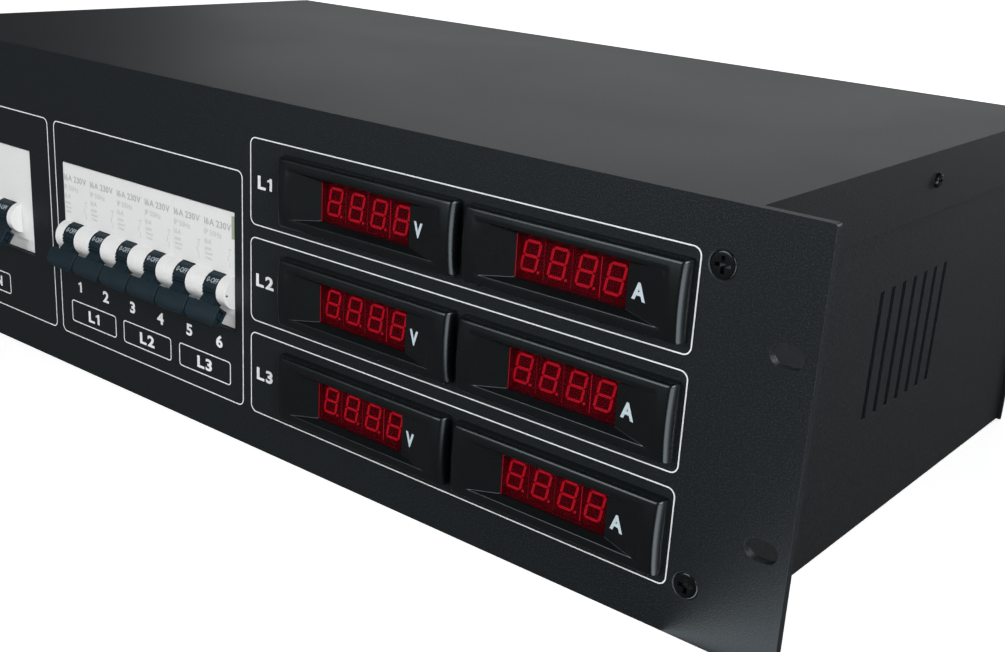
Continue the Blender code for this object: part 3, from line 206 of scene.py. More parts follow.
# Print on the rear panel
SOCKET_NUMBER_OUT = 0.0055
INPUT_TEXT = ("INPUT 400V 32A", 0.0042)
INPUT_DROP = 0.0075

# Stage; each lamp has its name, place, target, size and power
LAMPS = (("key", (-0.55, -1.7, 0.72), (0, -0.1, 0.06), 0.9, 15),
         ("right fill", (1.5, -0.75, 0.80), (0.05, -0.1, 0.06), 0.9, 29),
         ("back card", (-1.3, 2.3, 0.9), (0, 0, 0.1), 2.4, 14),
         ("back fill", (0.5, 1.9, 0.45), (0, 0.12, 0.06), 0.6, 11))
AMBIENT = 0.05
FLOOR_SIZE = 6.0
FLOOR_DROP = 0.0002
FLOOR_WHITE = {"From Min": 0.5, "From Max": 1.8, "To Min": 0.5, "To Max": 0.95}  # glow by distance

# Floor as reflections see it: levels round the lower right end of the meters, 0 degrees to the right
DIM_FLOOR = ((-180, 0.17), (-104, 0.17), (-86, 0.02), (-62, 0.02), (-50, 0.17))
LIT_FLOOR = ((-180, 0.0), (-64, 0.0), (-50, 4.0), (-20, 4.0), (4, 0.0))

# Rounded edges
ROUND_FROM = 40  # degrees between the faces of an edge that is rounded
FINE_ROUND = 0.0001
SMALL_ROUND = 0.0002
WIDE_ROUND = 0.0003
SHEET_ROUND = 0.0005
SAME_PLACE = 0.00001
NEAR = 0.0005  # an edge this near to a face counts as on it
COVER_EDGE = 0.0001  # of the cover, brought up to the panel
COVER_JOINT = 0.002  # of the cover behind the panel, where edges stay sharp


# Small helpers

def smooth(value):
    """Smooth step from 0 to 1."""
    value = min(1.0, max(0.0, value))
    return value * value * (3 - 2 * value)


def soft_min(first, second, blend):
    """The lower of two heights, with a rounded change between them."""
    near = max(blend - abs(first - second), 0.0) / blend
    return min(first, second) - near * near * blend / 4


def to_mesh(name, shape):
    """A bmesh made a mesh, its faces pointing out."""
    bmesh.ops.recalc_face_normals(shape, faces=shape.faces)
    mesh = bpy.data.meshes.new(name)
    shape.to_mesh(mesh)
    shape.free()
    return mesh


def add_object(name, mesh):
    """An object in the scene for a mesh or curve."""
    made = bpy.data.objects.new(name, mesh)
    bpy.context.scene.collection.objects.link(made)
    return made


def evaluated_mesh(item):
    """The mesh of an object with its modifiers applied; the object is removed."""
    bpy.context.view_layer.update()
    graph = bpy.context.evaluated_depsgraph_get()
    mesh = bpy.data.meshes.new_from_object(item.evaluated_get(graph))
    bpy.data.objects.remove(item, do_unlink=True)
    return mesh


def joined(meshes):
    """One mesh from several, each given with the matrix that places it."""
    shape = bmesh.new()
    for mesh, place in meshes:
        start = len(shape.verts)
        shape.from_mesh(mesh)
        shape.verts.ensure_lookup_table()
        bmesh.ops.transform(shape, matrix=place, verts=shape.verts[start:])
    mesh = bpy.data.meshes.new("joined")
    shape.to_mesh(mesh)
    shape.free()
    return mesh


def piece(name, mesh, look, body="housing", crease=35):
    """A finished piece: its material, its smooth faces and the body that it rides on."""
    made = add_object(name, mesh)
    mesh.materials.clear()
    mesh.materials.append(LOOKS[look])
    if crease:
        mesh.shade_smooth()
        mesh.set_sharp_from_angle(angle=math.radians(crease))
    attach(made, body)
    return made


def box_mesh(low, high):
    """A box between two corners."""
    shape = bmesh.new()
    bmesh.ops.create_cube(shape, size=1.0)
    bmesh.ops.scale(shape, vec=Vector(high) - Vector(low), verts=shape.verts)
    bmesh.ops.translate(shape, vec=(Vector(high) + Vector(low)) / 2, verts=shape.verts)
    return to_mesh("box", shape)


def thickened(outlines, depth):
    """Flat outlines in the XY plane made solid, from z = 0 up to a depth."""
    shape = bmesh.new()
    for outline in outlines:
        low = [shape.verts.new((x, y, 0)) for x, y in outline]
        high = [shape.verts.new((x, y, depth)) for x, y in outline]
        shape.faces.new(low)
        shape.faces.new(high)
        for number in range(len(low)):
            after = (number + 1) % len(low)
            shape.faces.new((low[number], low[after], high[after], high[number]))
    return to_mesh("outlines", shape)


def cut(mesh, low, high):
    """A mesh less the box between two corners."""
    base = add_object("base", mesh)
    tool = add_object("tool", box_mesh(low, high))
    step = base.modifiers.new("step", "BOOLEAN")
    step.operation = "DIFFERENCE"
    step.solver = "EXACT"
    step.object = tool
    made = evaluated_mesh(base)
    bpy.data.objects.remove(tool, do_unlink=True)
    return made


def turned(profile, steps):
    """A solid turned about Z from (radius, z) points that start and end on the axis."""
    shape = bmesh.new()
    points = [shape.verts.new((radius, 0, z)) for radius, z in profile]
    edges = [shape.edges.new(pair) for pair in zip(points, points[1:])]
    bmesh.ops.spin(shape, geom=points + edges, axis=(0, 0, 1), cent=(0, 0, 0), angle=math.tau,
                   steps=steps)
    bmesh.ops.remove_doubles(shape, verts=shape.verts, dist=1e-7)
    return to_mesh("turned", shape)


def evenly_shaded(mesh):
    """The mesh with flat faces shaded flat and only its rounded edges shaded round."""
    mesh.shade_smooth()
    mesh.set_sharp_from_angle(angle=math.radians(ROUND_FROM))
    item = add_object("shading", mesh)
    step = item.modifiers.new("faces first", "WEIGHTED_NORMAL")
    step.keep_sharp = True
    return evaluated_mesh(item)


def softened(node, name, look, width, body="housing", keep=None, adjust=None):
    """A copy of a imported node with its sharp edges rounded, which stands for the node.

    keep picks the edges to round and adjust may move vertices first.
    """
    shape = bmesh.new()
    shape.from_mesh(nodes[node].data)
    bmesh.ops.remove_doubles(shape, verts=shape.verts, dist=1e-6)
    bmesh.ops.dissolve_limit(shape, angle_limit=math.radians(1), verts=shape.verts, edges=shape.edges)
    if adjust:
        adjust(shape)
    edges = [edge for edge in shape.edges
             if edge.is_manifold and edge.calc_face_angle(0) > math.radians(ROUND_FROM)
             and (keep is None or keep(edge))]
    bmesh.ops.bevel(shape, geom=edges, offset=width, segments=2, profile=0.5, affect="EDGES",
                    clamp_overlap=True)
    made = piece(name, evenly_shaded(to_mesh(name, shape)), look, body, crease=None)
    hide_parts(node)


# Geometry node trees

def set_values(node, values):
    """Constant values of a node's inputs."""
    for socket, value in values.items():
        node.inputs[socket].default_value = value


def add_node(tree, kind, values=None, **settings):
    """A node of a tree, with its settings and the values of its inputs."""
    made = tree.nodes.new(kind)
    for name, setting in settings.items():
        setattr(made, name, setting)
    set_values(made, values or {})
    return made


def wire(tree, *links):
    """Links of a tree, each from a node's output to another's input."""
    for source, output, target, socket in links:
        tree.links.new(source.outputs[output], target.inputs[socket])


def new_tree(name, kind, inputs, outputs):
    """A node group with (label, type) sockets, and its input and output nodes."""
    made = bpy.data.node_groups.new(name, kind)
    for way, sockets in (("OUTPUT", outputs), ("INPUT", inputs)):
        for label, socket in sockets:
            made.interface.new_socket(label, in_out=way, socket_type="NodeSocket" + socket)
    return made, add_node(made, "NodeGroupInput"), add_node(made, "NodeGroupOutput")


def growing_tree(name, inputs):
    """A geometry tree that takes and gives a geometry, with further inputs and a material."""
    geometry = [("Geometry", "Geometry")]
    return new_tree(name, "GeometryNodeTree", geometry + inputs + [("Material", "Material")], geometry)


def close_tree(made, given, result, last, output):
    """End a tree in Realize Instances and Set Material."""
    real = add_node(made, "GeometryNodeRealizeInstances")
    paint = add_node(made, "GeometryNodeSetMaterial")
    wire(made, (last, output, real, "Geometry"), (real, "Geometry", paint, "Geometry"),
         (given, "Material", paint, "Material"), (paint, "Geometry", result, "Geometry"))
    return made


def frame_tree():
    """A printed line round a rectangle with round corners, facing -Y, its middle at the origin."""
    lengths = [(label, "Float") for label in ("Width", "Height", "Corner", "Line", "Film")]
    made, given, result = growing_tree("printed frame", lengths)
    outline = add_node(made, "GeometryNodeCurvePrimitiveQuadrilateral")
    fillet = add_node(made, "GeometryNodeFilletCurve", {"Count": CORNER_STEPS}, mode="POLY")
    section = add_node(made, "GeometryNodeCurvePrimitiveQuadrilateral")
    sweep = add_node(made, "GeometryNodeCurveToMesh")
    turn = add_node(made, "GeometryNodeTransform", {"Rotation": (math.pi / 2, 0, 0)})
    wire(made, (given, "Width", outline, "Width"), (given, "Height", outline, "Height"),
         (outline, "Curve", fillet, "Curve"), (given, "Corner", fillet, "Radius"),
         (given, "Line", section, "Width"), (given, "Film", section, "Height"),
         (fillet, "Curve", sweep, "Curve"), (section, "Curve", sweep, "Profile Curve"),
         (sweep, "Mesh", turn, "Geometry"))
    return close_tree(made, given, result, turn, "Geometry")


def copies_tree():
    """A copy of an object on each point, its +Z turned to the point's facing direction."""
    made, given, result = growing_tree("copies on points", [("Copy", "Object")])
    source = add_node(made, "GeometryNodeObjectInfo")
    place = add_node(made, "GeometryNodeInstanceOnPoints")
    facing = add_node(made, "GeometryNodeInputNamedAttribute", {"Name": "facing"},
                      data_type="FLOAT_VECTOR")
    align = add_node(made, "FunctionNodeAlignRotationToVector", axis="Z")
    wire(made, (given, "Geometry", place, "Points"), (given, "Copy", source, "Object"),
         (source, "Geometry", place, "Instance"), (facing, "Attribute", align, "Vector"),
         (align, "Rotation", place, "Rotation"))
    return close_tree(made, given, result, place, "Instances")


def grown(tree, base, values):
    """The plain mesh that a tree grows on a base mesh with the given input values."""
    item = add_object("grown", base)
    step = item.modifiers.new("tree", "NODES")
    step.node_group = tree
    for socket in tree.interface.items_tree:
        if socket.in_out == "INPUT" and socket.name in values:
            step[socket.identifier] = values[socket.name]
    return evaluated_mesh(item)


def copies(name, mesh, places, look, crease=35):
    """A piece made of copies of a mesh at places, each given with the direction that it faces."""
    points = bpy.data.meshes.new("points")
    points.from_pydata([place for place, facing in places], [], [])
    facing = points.attributes.new("facing", "FLOAT_VECTOR", "POINT")
    for value, (place, direction) in zip(facing.data, places):
        value.vector = direction
    source = add_object("copy", mesh)
    made = grown(COPIES_TREE, points, {"Copy": source, "Material": LOOKS[look]})
    bpy.data.objects.remove(source, do_unlink=True)
    piece(name, made, look, crease=crease)


# Shader groups, each used by several materials

def object_noise(tree, given, detail, distortion):
    """Noise over the object's own coordinates, its scale one over the given size."""
    place = add_node(tree, "ShaderNodeTexCoord")
    scale = add_node(tree, "ShaderNodeMath", {0: 1.0}, operation="DIVIDE")
    noise = add_node(tree, "ShaderNodeTexNoise", {"Detail": detail, "Distortion": distortion})
    wire(tree, (given, "Size", scale, 1), (place, "Object", noise, "Vector"),
         (scale, "Value", noise, "Scale"))
    return noise


def stretched(tree, noise, low, high):
    """A mask that rises from 0 to 1 between two levels of a noise."""
    mask = add_node(tree, "ShaderNodeMapRange", {"From Min": low, "From Max": high})
    wire(tree, (noise, "Fac", mask, "Value"))
    return mask


def mask_group(name, outputs):
    """A shader group with one input, Size, and number outputs."""
    return new_tree(name, "ShaderNodeTree", [("Size", "Float")], [(label, "Float") for label in outputs])


def grain_group():
    """Fine even grain: a speckle mask and a height."""
    made, given, result = mask_group("fine grain", ("Speckle", "Height"))
    fine = object_noise(made, given, detail=1.5, distortion=0.0)
    speckle = stretched(made, fine, low=0.5, high=0.72)
    wire(made, (speckle, "Result", result, "Speckle"), (fine, "Fac", result, "Height"))
    return made


def handling_group():
    """Broad soft patches, as hands and dust leave them."""
    made, given, result = mask_group("handling marks", ("Mask",))
    broad = object_noise(made, given, detail=5.0, distortion=0.6)
    wire(made, (stretched(made, broad, low=0.35, high=0.75), "Result", result, "Mask"))
    return made


GRAIN = grain_group()
HANDLING = handling_group()
LOOKS = {}


def surface(name, dark, light, rough, grain, bump, spread=0.05, metallic=0.0, level=0.5, tint=(1, 1, 1)):
    """A material, kept in LOOKS, whose colour and gloss vary with grain and handling marks.

    dark and light are the colours between which the grain goes, rough is the range of
    roughness, grain the grain's size, bump its height, spread the size of the handling
    marks, level the specular level and tint the colour of its reflections.
    """
    made = LOOKS[name] = bpy.data.materials.new(name)
    made.use_nodes = True
    tree = made.node_tree
    shader = shader_of(made)
    set_values(shader, {"Metallic": metallic, "Specular IOR Level": level, "Specular Tint": (*tint, 1)})
    fine = add_node(tree, "ShaderNodeGroup", {"Size": grain}, node_tree=GRAIN)
    broad = add_node(tree, "ShaderNodeGroup", {"Size": spread}, node_tree=HANDLING)
    colour = add_node(tree, "ShaderNodeMix", {"A": (*dark, 1), "B": (*light, 1)}, data_type="RGBA")
    gloss = add_node(tree, "ShaderNodeMapRange", {"To Min": rough[0], "To Max": rough[1]})
    relief = add_node(tree, "ShaderNodeBump", {"Strength": 1.0, "Distance": bump})
    wire(tree, (fine, "Speckle", colour, "Factor"), (colour, "Result", shader, "Base Color"),
         (broad, "Mask", gloss, "Value"), (gloss, "Result", shader, "Roughness"),
         (fine, "Height", relief, "Height"), (relief, "Normal", shader, "Normal"))
    return made


def shader_of(look):
    """The Principled shader of a material."""
    return look.node_tree.nodes["Principled BSDF"]


def red_filter():
    """See-through red plastic of the meters' windows."""
    look = surface("red filter", (0.080, 0.0008, 0.0030), (0.100, 0.0010, 0.0040), (0.10, 0.16), 0.0006,
                   0.000002, level=0.05)
    set_values(shader_of(look), {"Alpha": 0.34})


def glowing(name, colour, strength):
    """Red light seen through the filter: the lit segments, and the glow of the painted reflections at the
    display's seams.
    """
    look = surface(name, (0.05, 0.002, 0.004), (0.06, 0.003, 0.005), (0.4, 0.5), 0.0003, 0.000004)
    set_values(shader_of(look), {"Emission Color": (*colour, 1), "Emission Strength": strength})


COAT_TINT = (0.76, 0.91, 1.0)
BLACK_TINT = (0.82, 0.94, 1.0)
MOULDED = (0.36, 0.48)  # roughness of moulded plastic
PRINT = ((0.5, 0.6), 0.0003, 0.000006)  # roughness, grain and bump of print


surface("powder coat", (0.0052, 0.0062, 0.0072), (0.0195, 0.0220, 0.0245), (0.485, 0.52), 0.0005, 0.00008,
        0.12, level=0.34, tint=COAT_TINT)
surface("black screw", (0.0016, 0.0019, 0.0021), (0.0026, 0.003, 0.0033), (0.20, 0.26), 0.0003, 0.000004,
        0.004, tint=BLACK_TINT)
surface("breaker plastic", (0.73, 0.735, 0.735), (0.77, 0.775, 0.775), (0.42, 0.52), 0.0005, 0.000008,
        0.012)
surface("lever plastic", (0.0080, 0.0178, 0.0245), (0.0105, 0.0212, 0.0290), MOULDED, 0.0004, 0.000008,
        0.008, level=0.25, tint=BLACK_TINT)
surface("button plastic", (0.50, 0.30, 0.03), (0.56, 0.34, 0.04), (0.38, 0.5), 0.0004, 0.000006, 0.006)
surface("zinc plate", (0.52, 0.53, 0.54), (0.62, 0.63, 0.64), (0.3, 0.42), 0.0015, 0.00001, metallic=1.0)
surface("busbar grey", (0.24, 0.25, 0.26), (0.27, 0.28, 0.29), (0.45, 0.55), 0.0006, 0.00001)
surface("meter plastic", (0.0022, 0.0028, 0.0032), (0.0034, 0.0042, 0.0047), (0.26, 0.32), 0.0003,
        0.000004, 0.02, tint=BLACK_TINT)
surface("display plastic", (0.050, 0.001, 0.004), (0.062, 0.0015, 0.005), (0.4, 0.5), 0.0004, 0.000004,
        level=0.1)
surface("socket plastic", (0.012, 0.045, 0.16), (0.016, 0.055, 0.18), MOULDED, 0.0005, 0.00001, 0.02)
surface("inlet plastic", (0.42, 0.014, 0.012), (0.47, 0.018, 0.015), MOULDED, 0.0005, 0.00001, 0.02)
surface("insert plastic", (0.19, 0.19, 0.19), (0.22, 0.22, 0.22), (0.45, 0.55), 0.0005, 0.00001, 0.02)
surface("transformer plastic", (0.018, 0.045, 0.14), (0.022, 0.05, 0.155), (0.45, 0.6), 0.0007, 0.00003)
surface("lead insulation", (0.045, 0.028, 0.018), (0.052, 0.032, 0.021), (0.4, 0.5), 0.0006, 0.00001)
surface("white print", (0.76, 0.78, 0.79), (0.82, 0.84, 0.85), *PRINT, 0.03)
surface("unit print", (0.56, 0.66, 0.72), (0.62, 0.72, 0.78), *PRINT, 0.03)
surface("drum print", (0.34, 0.40, 0.44), (0.40, 0.46, 0.50), *PRINT, 0.01)
surface("grey print", (0.40, 0.41, 0.41), (0.45, 0.46, 0.46), *PRINT, 0.01)
surface("pale print", (0.54, 0.55, 0.55), (0.59, 0.60, 0.60), *PRINT, 0.01)
surface("pin steel", (0.10, 0.10, 0.10), (0.14, 0.14, 0.14), (0.3, 0.4), 0.0002, 0.000004, 0.002, 0.8)
surface("greenish grey", (0.33, 0.36, 0.28), (0.38, 0.41, 0.32), *PRINT, 0.004)
red_filter()
glowing("lit segment", (1.0, 0.006, 0.028), 0.66)
# Painted reflections: glowing strips that stand in for light off the side edges of the display's modules
glowing("bright painted reflection", (1.0, 0.010, 0.04), 0.8)
glowing("dim painted reflection", (1.0, 0.008, 0.03), 0.22)
FRAME_TREE = frame_tree()
COPIES_TREE = copies_tree()


# Print

def flat_glyph(character, weight):
    """A flat character, its capitals 1 high and its left edge at x = 0."""
    shape = bmesh.new()
    if character == "1" and weight == BOLD:
        shape.faces.new([shape.verts.new((x, y, 0)) for x, y in ONE])
        bmesh.ops.triangulate(shape, faces=shape.faces)
        return shape
    curve = bpy.data.curves.new("glyph", "FONT")
    curve.body = character
    curve.size = 1 / CAPITAL
    curve.offset = weight
    curve.resolution_u = 3
    shape.from_mesh(evaluated_mesh(add_object("glyph", curve)))
    bmesh.ops.remove_doubles(shape, verts=shape.verts, dist=1e-5)
    left = min(vertex.co.x for vertex in shape.verts)
    bmesh.ops.translate(shape, vec=(-left, 0, 0), verts=shape.verts)
    return shape


def flat_text(text, height, stretch, weight):
    """Flat text in the XY plane, its left edge and the middle of its capitals at the origin."""
    glyphs = []
    reach = 0.0
    for character in text:
        if character == " ":
            reach += SPACE
            continue
        glyph = flat_glyph(character, weight)
        width = max(vertex.co.x for vertex in glyph.verts)
        mesh = bpy.data.meshes.new("glyph")
        glyph.to_mesh(mesh)
        glyph.free()
        glyphs.append((mesh, Matrix.Translation((reach, -0.5, 0))))
        reach += width + GLYPH_GAP
    shape = bmesh.new()
    shape.from_mesh(joined(glyphs))
    bmesh.ops.scale(shape, vec=(height * stretch, height, 1), verts=shape.verts)
    return shape


def lettering(text, height, stretch=1.0, weight=PLAIN, centred=True, slices=0):
    """Printed text facing -Y with its middle, or its left edge, at the origin."""
    shape = flat_text(text, height, stretch, weight)
    for number in range(slices):
        level = height * ((number + 1) / (slices + 1) - 0.5)
        bmesh.ops.bisect_plane(shape, geom=shape.verts[:] + shape.edges[:] + shape.faces[:],
                               plane_co=(0, level, 0), plane_no=(0, 1, 0))
    if centred:
        across = max(vertex.co.x for vertex in shape.verts)
        bmesh.ops.translate(shape, vec=(-across / 2, 0, 0), verts=shape.verts)
    raised = bmesh.ops.extrude_face_region(shape, geom=shape.faces[:], use_keep_orig=True)
    tops = [item for item in raised["geom"] if isinstance(item, bmesh.types.BMVert)]
    bmesh.ops.translate(shape, vec=(0, 0, FILM), verts=tops)
    for vertex in shape.verts:
        vertex.co = (vertex.co.x, -vertex.co.z, vertex.co.y)
    return to_mesh("letters", shape)


def printed_frame(width, height, corner):
    """A printed rectangle's line, its back on the plane y = 0."""
    values = {"Width": width, "Height": height, "Corner": corner, "Line": LINE, "Film": FILM,
              "Material": LOOKS["white print"]}
    mesh = grown(FRAME_TREE, bpy.data.meshes.new("empty"), values)
    mesh.transform(Matrix.Translation((0, -FILM / 2, 0)))
    return mesh


def on_front(x, z):
    """Place on the panel's front, z from its middle."""
    return Matrix.Translation((x, FRONT_Y - FILM_GAP, MID_Z + z))


def front_middle(node):
    """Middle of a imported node's box, brought to the panel's front."""
    low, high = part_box(node)
    return Vector(((low.x + high.x) / 2, FRONT_Y, (low.z + high.z) / 2))


def on_label(x, z):
    """Place on the breakers' label face, z from the panel's middle."""
    return Matrix.Translation((x, LABEL_Y - FILM_GAP, MID_Z + z))


def on_rear(x, z):
    """Place on the rear panel's outer face, turned to be read from behind."""
    return Matrix.Translation((x, REAR_Y + FILM_GAP, z)) @ Matrix.Rotation(math.pi, 4, "Z")


def frame_between(ends_x, ends_z):
    """A printed frame between two ends each way, with its place."""
    width = ends_x[1] - ends_x[0]
    height = ends_z[1] - ends_z[0]
    return printed_frame(width, height, FRAME_CORNER), on_front(sum(ends_x) / 2, sum(ends_z) / 2)


def framed_name(name, x):
    """A name in its small frame under the breakers."""
    return [(printed_frame(*LABEL_BOX, LABEL_CORNER), on_front(x, LABEL_Z)), (name, on_front(x, LABEL_Z))]


def panel_print():
    """Frames, phase names and breaker numbers on the front panel."""
    marks = [frame_between(BREAKER_FRAME_X, SWITCH_FRAME_Z), frame_between(RCD_FRAME_X, SWITCH_FRAME_Z)]
    for row in range(3):
        top = METER_FRAME_TOP - row * METER_FRAME_PITCH
        marks.append(frame_between(METER_FRAME_X, (top - METER_FRAME_HEIGHT, top)))
        low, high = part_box(METERS[2 * row] + "_case")
        middle = (low.z + high.z) / 2 - MID_Z + PHASE_RISE
        name = lettering(f"L{row + 1}", LETTER_HEIGHT, LETTER_STRETCH, BOLD)
        marks.append((name, on_front(PHASE_X, middle)))
        pair_x = (BREAKER_XS[2 * row] + BREAKER_XS[2 * row + 1]) / 2
        marks += framed_name(name, pair_x)
    for number, x in enumerate(BREAKER_XS, 1):
        marks.append((lettering(str(number), LETTER_HEIGHT, NUMBER_STRETCH, BOLD), on_front(x, NUMBER_Z)))
    marks += framed_name(lettering("MAIN", LETTER_HEIGHT, weight=BOLD), RCD_X)
    piece("panel_print", joined(marks), "white print")


def paint(node, look):
    """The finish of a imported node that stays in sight."""
    nodes[node].data.materials.clear()
    nodes[node].data.materials.append(LOOKS[look])


# Meters

def spaced(start, end, step):
    """Even positions from start up to, but without, end."""
    count = max(1, math.ceil((end - start) / step))
    return [start + (end - start) * number / count for number in range(count)]


def grid_lines(half, window_half, inner_step, outer_step):
    """Positions across a bezel: lines on the window's sides, close together at the edge."""
    lines = spaced(0, window_half, inner_step) + spaced(window_half, half - BEZEL_EDGE, outer_step)
    lines += [half - BEZEL_EDGE * (1 - math.sin(math.radians(angle))) for angle in EDGE_ANGLES]
    return [-line for line in reversed(lines[1:])] + lines


def round_corner(x, z, half_x, half_z):
    """A grid point moved so that the grid's corners follow the bezel's round corners."""
    over_x = abs(x) - (half_x - BEZEL_CORNER)
    over_z = abs(z) - (half_z - BEZEL_CORNER)
    if over_x <= 0 or over_z <= 0:
        return x, z
    new_x = half_x - BEZEL_CORNER + over_x * math.sqrt(1 - (over_z / BEZEL_CORNER) ** 2 / 2)
    new_z = half_z - BEZEL_CORNER + over_z * math.sqrt(1 - (over_x / BEZEL_CORNER) ** 2 / 2)
    return math.copysign(new_x, x), math.copysign(new_z, z)


def edge_distance(x, z, half_x, half_z):
    """How far a point lies inside the bezel's outline."""
    over_x = abs(x) - (half_x - BEZEL_CORNER)
    over_z = abs(z) - (half_z - BEZEL_CORNER)
    if over_x > 0 and over_z > 0:
        return BEZEL_CORNER - math.hypot(over_x, over_z)
    return min(half_x - abs(x), half_z - abs(z))


def pocket_slope(axis):
    """Sideways run of the pocket's wall for its height, along the width (0) or the height (1)."""
    tip_x, tip_y, tip_z = POCKET_TIP
    return ((tip_x, tip_z)[axis] - WINDOW_SIZE[axis] / 2) / (tip_y - WINDOW_FLOOR)


def pocket_rise(x, z):
    """How far the window's flared pocket stands out at a point."""
    width, height = WINDOW_SIZE
    side = (abs(x) - width / 2) / pocket_slope(0)
    wall = (abs(z) - height / 2) / pocket_slope(1)
    return WINDOW_FLOOR + max(0.0, side, wall)


def bezel_rise(x, z, half_x, half_z):
    """How far the bezel's front stands out at a point."""
    inside = max(0.0, edge_distance(x, z, half_x, half_z))
    rise = BEZEL_RISE + BEZEL_BOW * (1 - (z / half_z) ** 2)
    rise -= END_DROP * max(0.0, 1 - (half_x - abs(x)) / END_ROLL) ** 2
    rise = soft_min(rise, rise - END_SLOPE * (END_SLANT - (half_x - abs(x))), END_SOFT)
    if inside < BEZEL_EDGE:
        rise -= BEZEL_EDGE - math.sqrt(BEZEL_EDGE ** 2 - (BEZEL_EDGE - inside) ** 2)
    sunk = smooth((SINK_HALF[0] - abs(x)) / SINK_SOFT) * smooth((SINK_HALF[1] - abs(z)) / SINK_SOFT)
    return soft_min(rise - SINK_DEPTH * sunk, pocket_rise(x, z), POCKET_EDGE)


def bezel_mesh(half_x, half_z):
    """The bezel: soft front with its pocket, outer sides, window opening and flat back."""
    width, height = WINDOW_SIZE
    xs = grid_lines(half_x, width / 2, *GRID_STEPS[0])
    zs = grid_lines(half_z, height / 2, *GRID_STEPS[1])
    shape = bmesh.new()
    rows = []
    for z in zs:
        row = []
        for x in xs:
            place_x, place_z = round_corner(x, z, half_x, half_z)
            row.append(shape.verts.new((place_x, -bezel_rise(place_x, place_z, half_x, half_z), place_z)))
        rows.append(row)
    for row in range(len(zs) - 1):
        for column in range(len(xs) - 1):
            middle_x = abs(xs[column] + xs[column + 1]) / 2
            middle_z = abs(zs[row] + zs[row + 1]) / 2
            if middle_x < width / 2 and middle_z < height / 2:
                continue
            shape.faces.new((rows[row][column], rows[row][column + 1], rows[row + 1][column + 1],
                             rows[row + 1][column]))
    loose = [vertex for vertex in shape.verts if not vertex.link_faces]
    bmesh.ops.delete(shape, geom=loose, context="VERTS")
    rims = [edge for edge in shape.edges if edge.is_boundary]
    walls = bmesh.ops.extrude_edge_only(shape, edges=rims)["geom"]
    for vertex in [item for item in walls if isinstance(item, bmesh.types.BMVert)]:
        vertex.co.y = -FILM
    ends = [edge for edge in shape.edges if edge.is_boundary]
    bmesh.ops.triangle_fill(shape, use_beauty=True, edges=ends)
    return to_mesh("bezel", shape)


def housing_mesh(depth):
    """Open-backed housing behind the bezel, with the window's opening in its front wall."""
    half_x = HOUSING_SIZE[0] / 2
    half_z = HOUSING_SIZE[1] / 2
    width, height = WINDOW_SIZE
    wall = HOUSING_WALL
    mesh = box_mesh((-half_x, 0, -half_z), (half_x, depth, half_z))
    mesh = cut(mesh, (wall - half_x, wall, wall - half_z), (half_x - wall, 2 * depth, half_z - wall))
    return cut(mesh, (-width / 2, -wall, -height / 2), (width / 2, 2 * wall, height / 2))


def segment_outlines():
    """Outlines of a digit's seven segments, the digit's middle at the origin."""
    half_x = DIGIT_SIZE[0] / 2 - SEGMENT / 2
    half_z = DIGIT_SIZE[1] / 2 - SEGMENT / 2
    bars = [((-half_x, z), (half_x, z)) for z in (half_z, 0, -half_z)]
    bars += [((x, z), (x, z + half_z)) for z in (0, -half_z) for x in (-half_x, half_x)]
    outlines = []
    for start, end in bars:
        start, end = Vector(start), Vector(end)
        along = (end - start).normalized()
        aside = Vector((-along.y, along.x)) * SEGMENT / 2
        first = start + along * SEGMENT_GAP
        last = end - along * SEGMENT_GAP
        step = along * SEGMENT / 2
        outlines.append([first, first + step + aside, last - step + aside, last, last - step - aside,
                         first + step - aside])
    return outlines


def point_outline():
    """Outline of the point at a digit's lower right."""
    middle = Vector((DIGIT_SIZE[0] / 2 + POINT_OUT * SEGMENT, (SEGMENT - DIGIT_SIZE[1]) / 2))
    return [middle + Vector((math.cos(turn), math.sin(turn))) * SEGMENT * POINT_RADIUS
            for turn in (math.tau * number / POINT_STEPS for number in range(POINT_STEPS))]


def leaning(outlines):
    """Slanted marks of a digit, facing +Z."""
    lean = math.tan(DIGIT_SLANT)
    slanted = [[(point.x + point.y * lean, point.y) for point in outline] for outline in outlines]
    return thickened(slanted, FILM)


def unit_letter(column, middle):
    """V or A, printed on the pocket's slanted right wall."""
    slope = pocket_slope(0)
    x, z = UNIT_PLACE
    out = WINDOW_FLOOR + (x - WINDOW_SIZE[0] / 2) / slope
    letter = lettering(column[0].upper(), UNIT_SIZE[column], UNIT_STRETCH[column], BOLD)
    turn = Matrix.Rotation(-math.atan(1 / slope), 4, "Z")
    letter.transform(Matrix.Translation(middle + Vector((x, -out - FILM_GAP, z))) @ turn)
    return letter


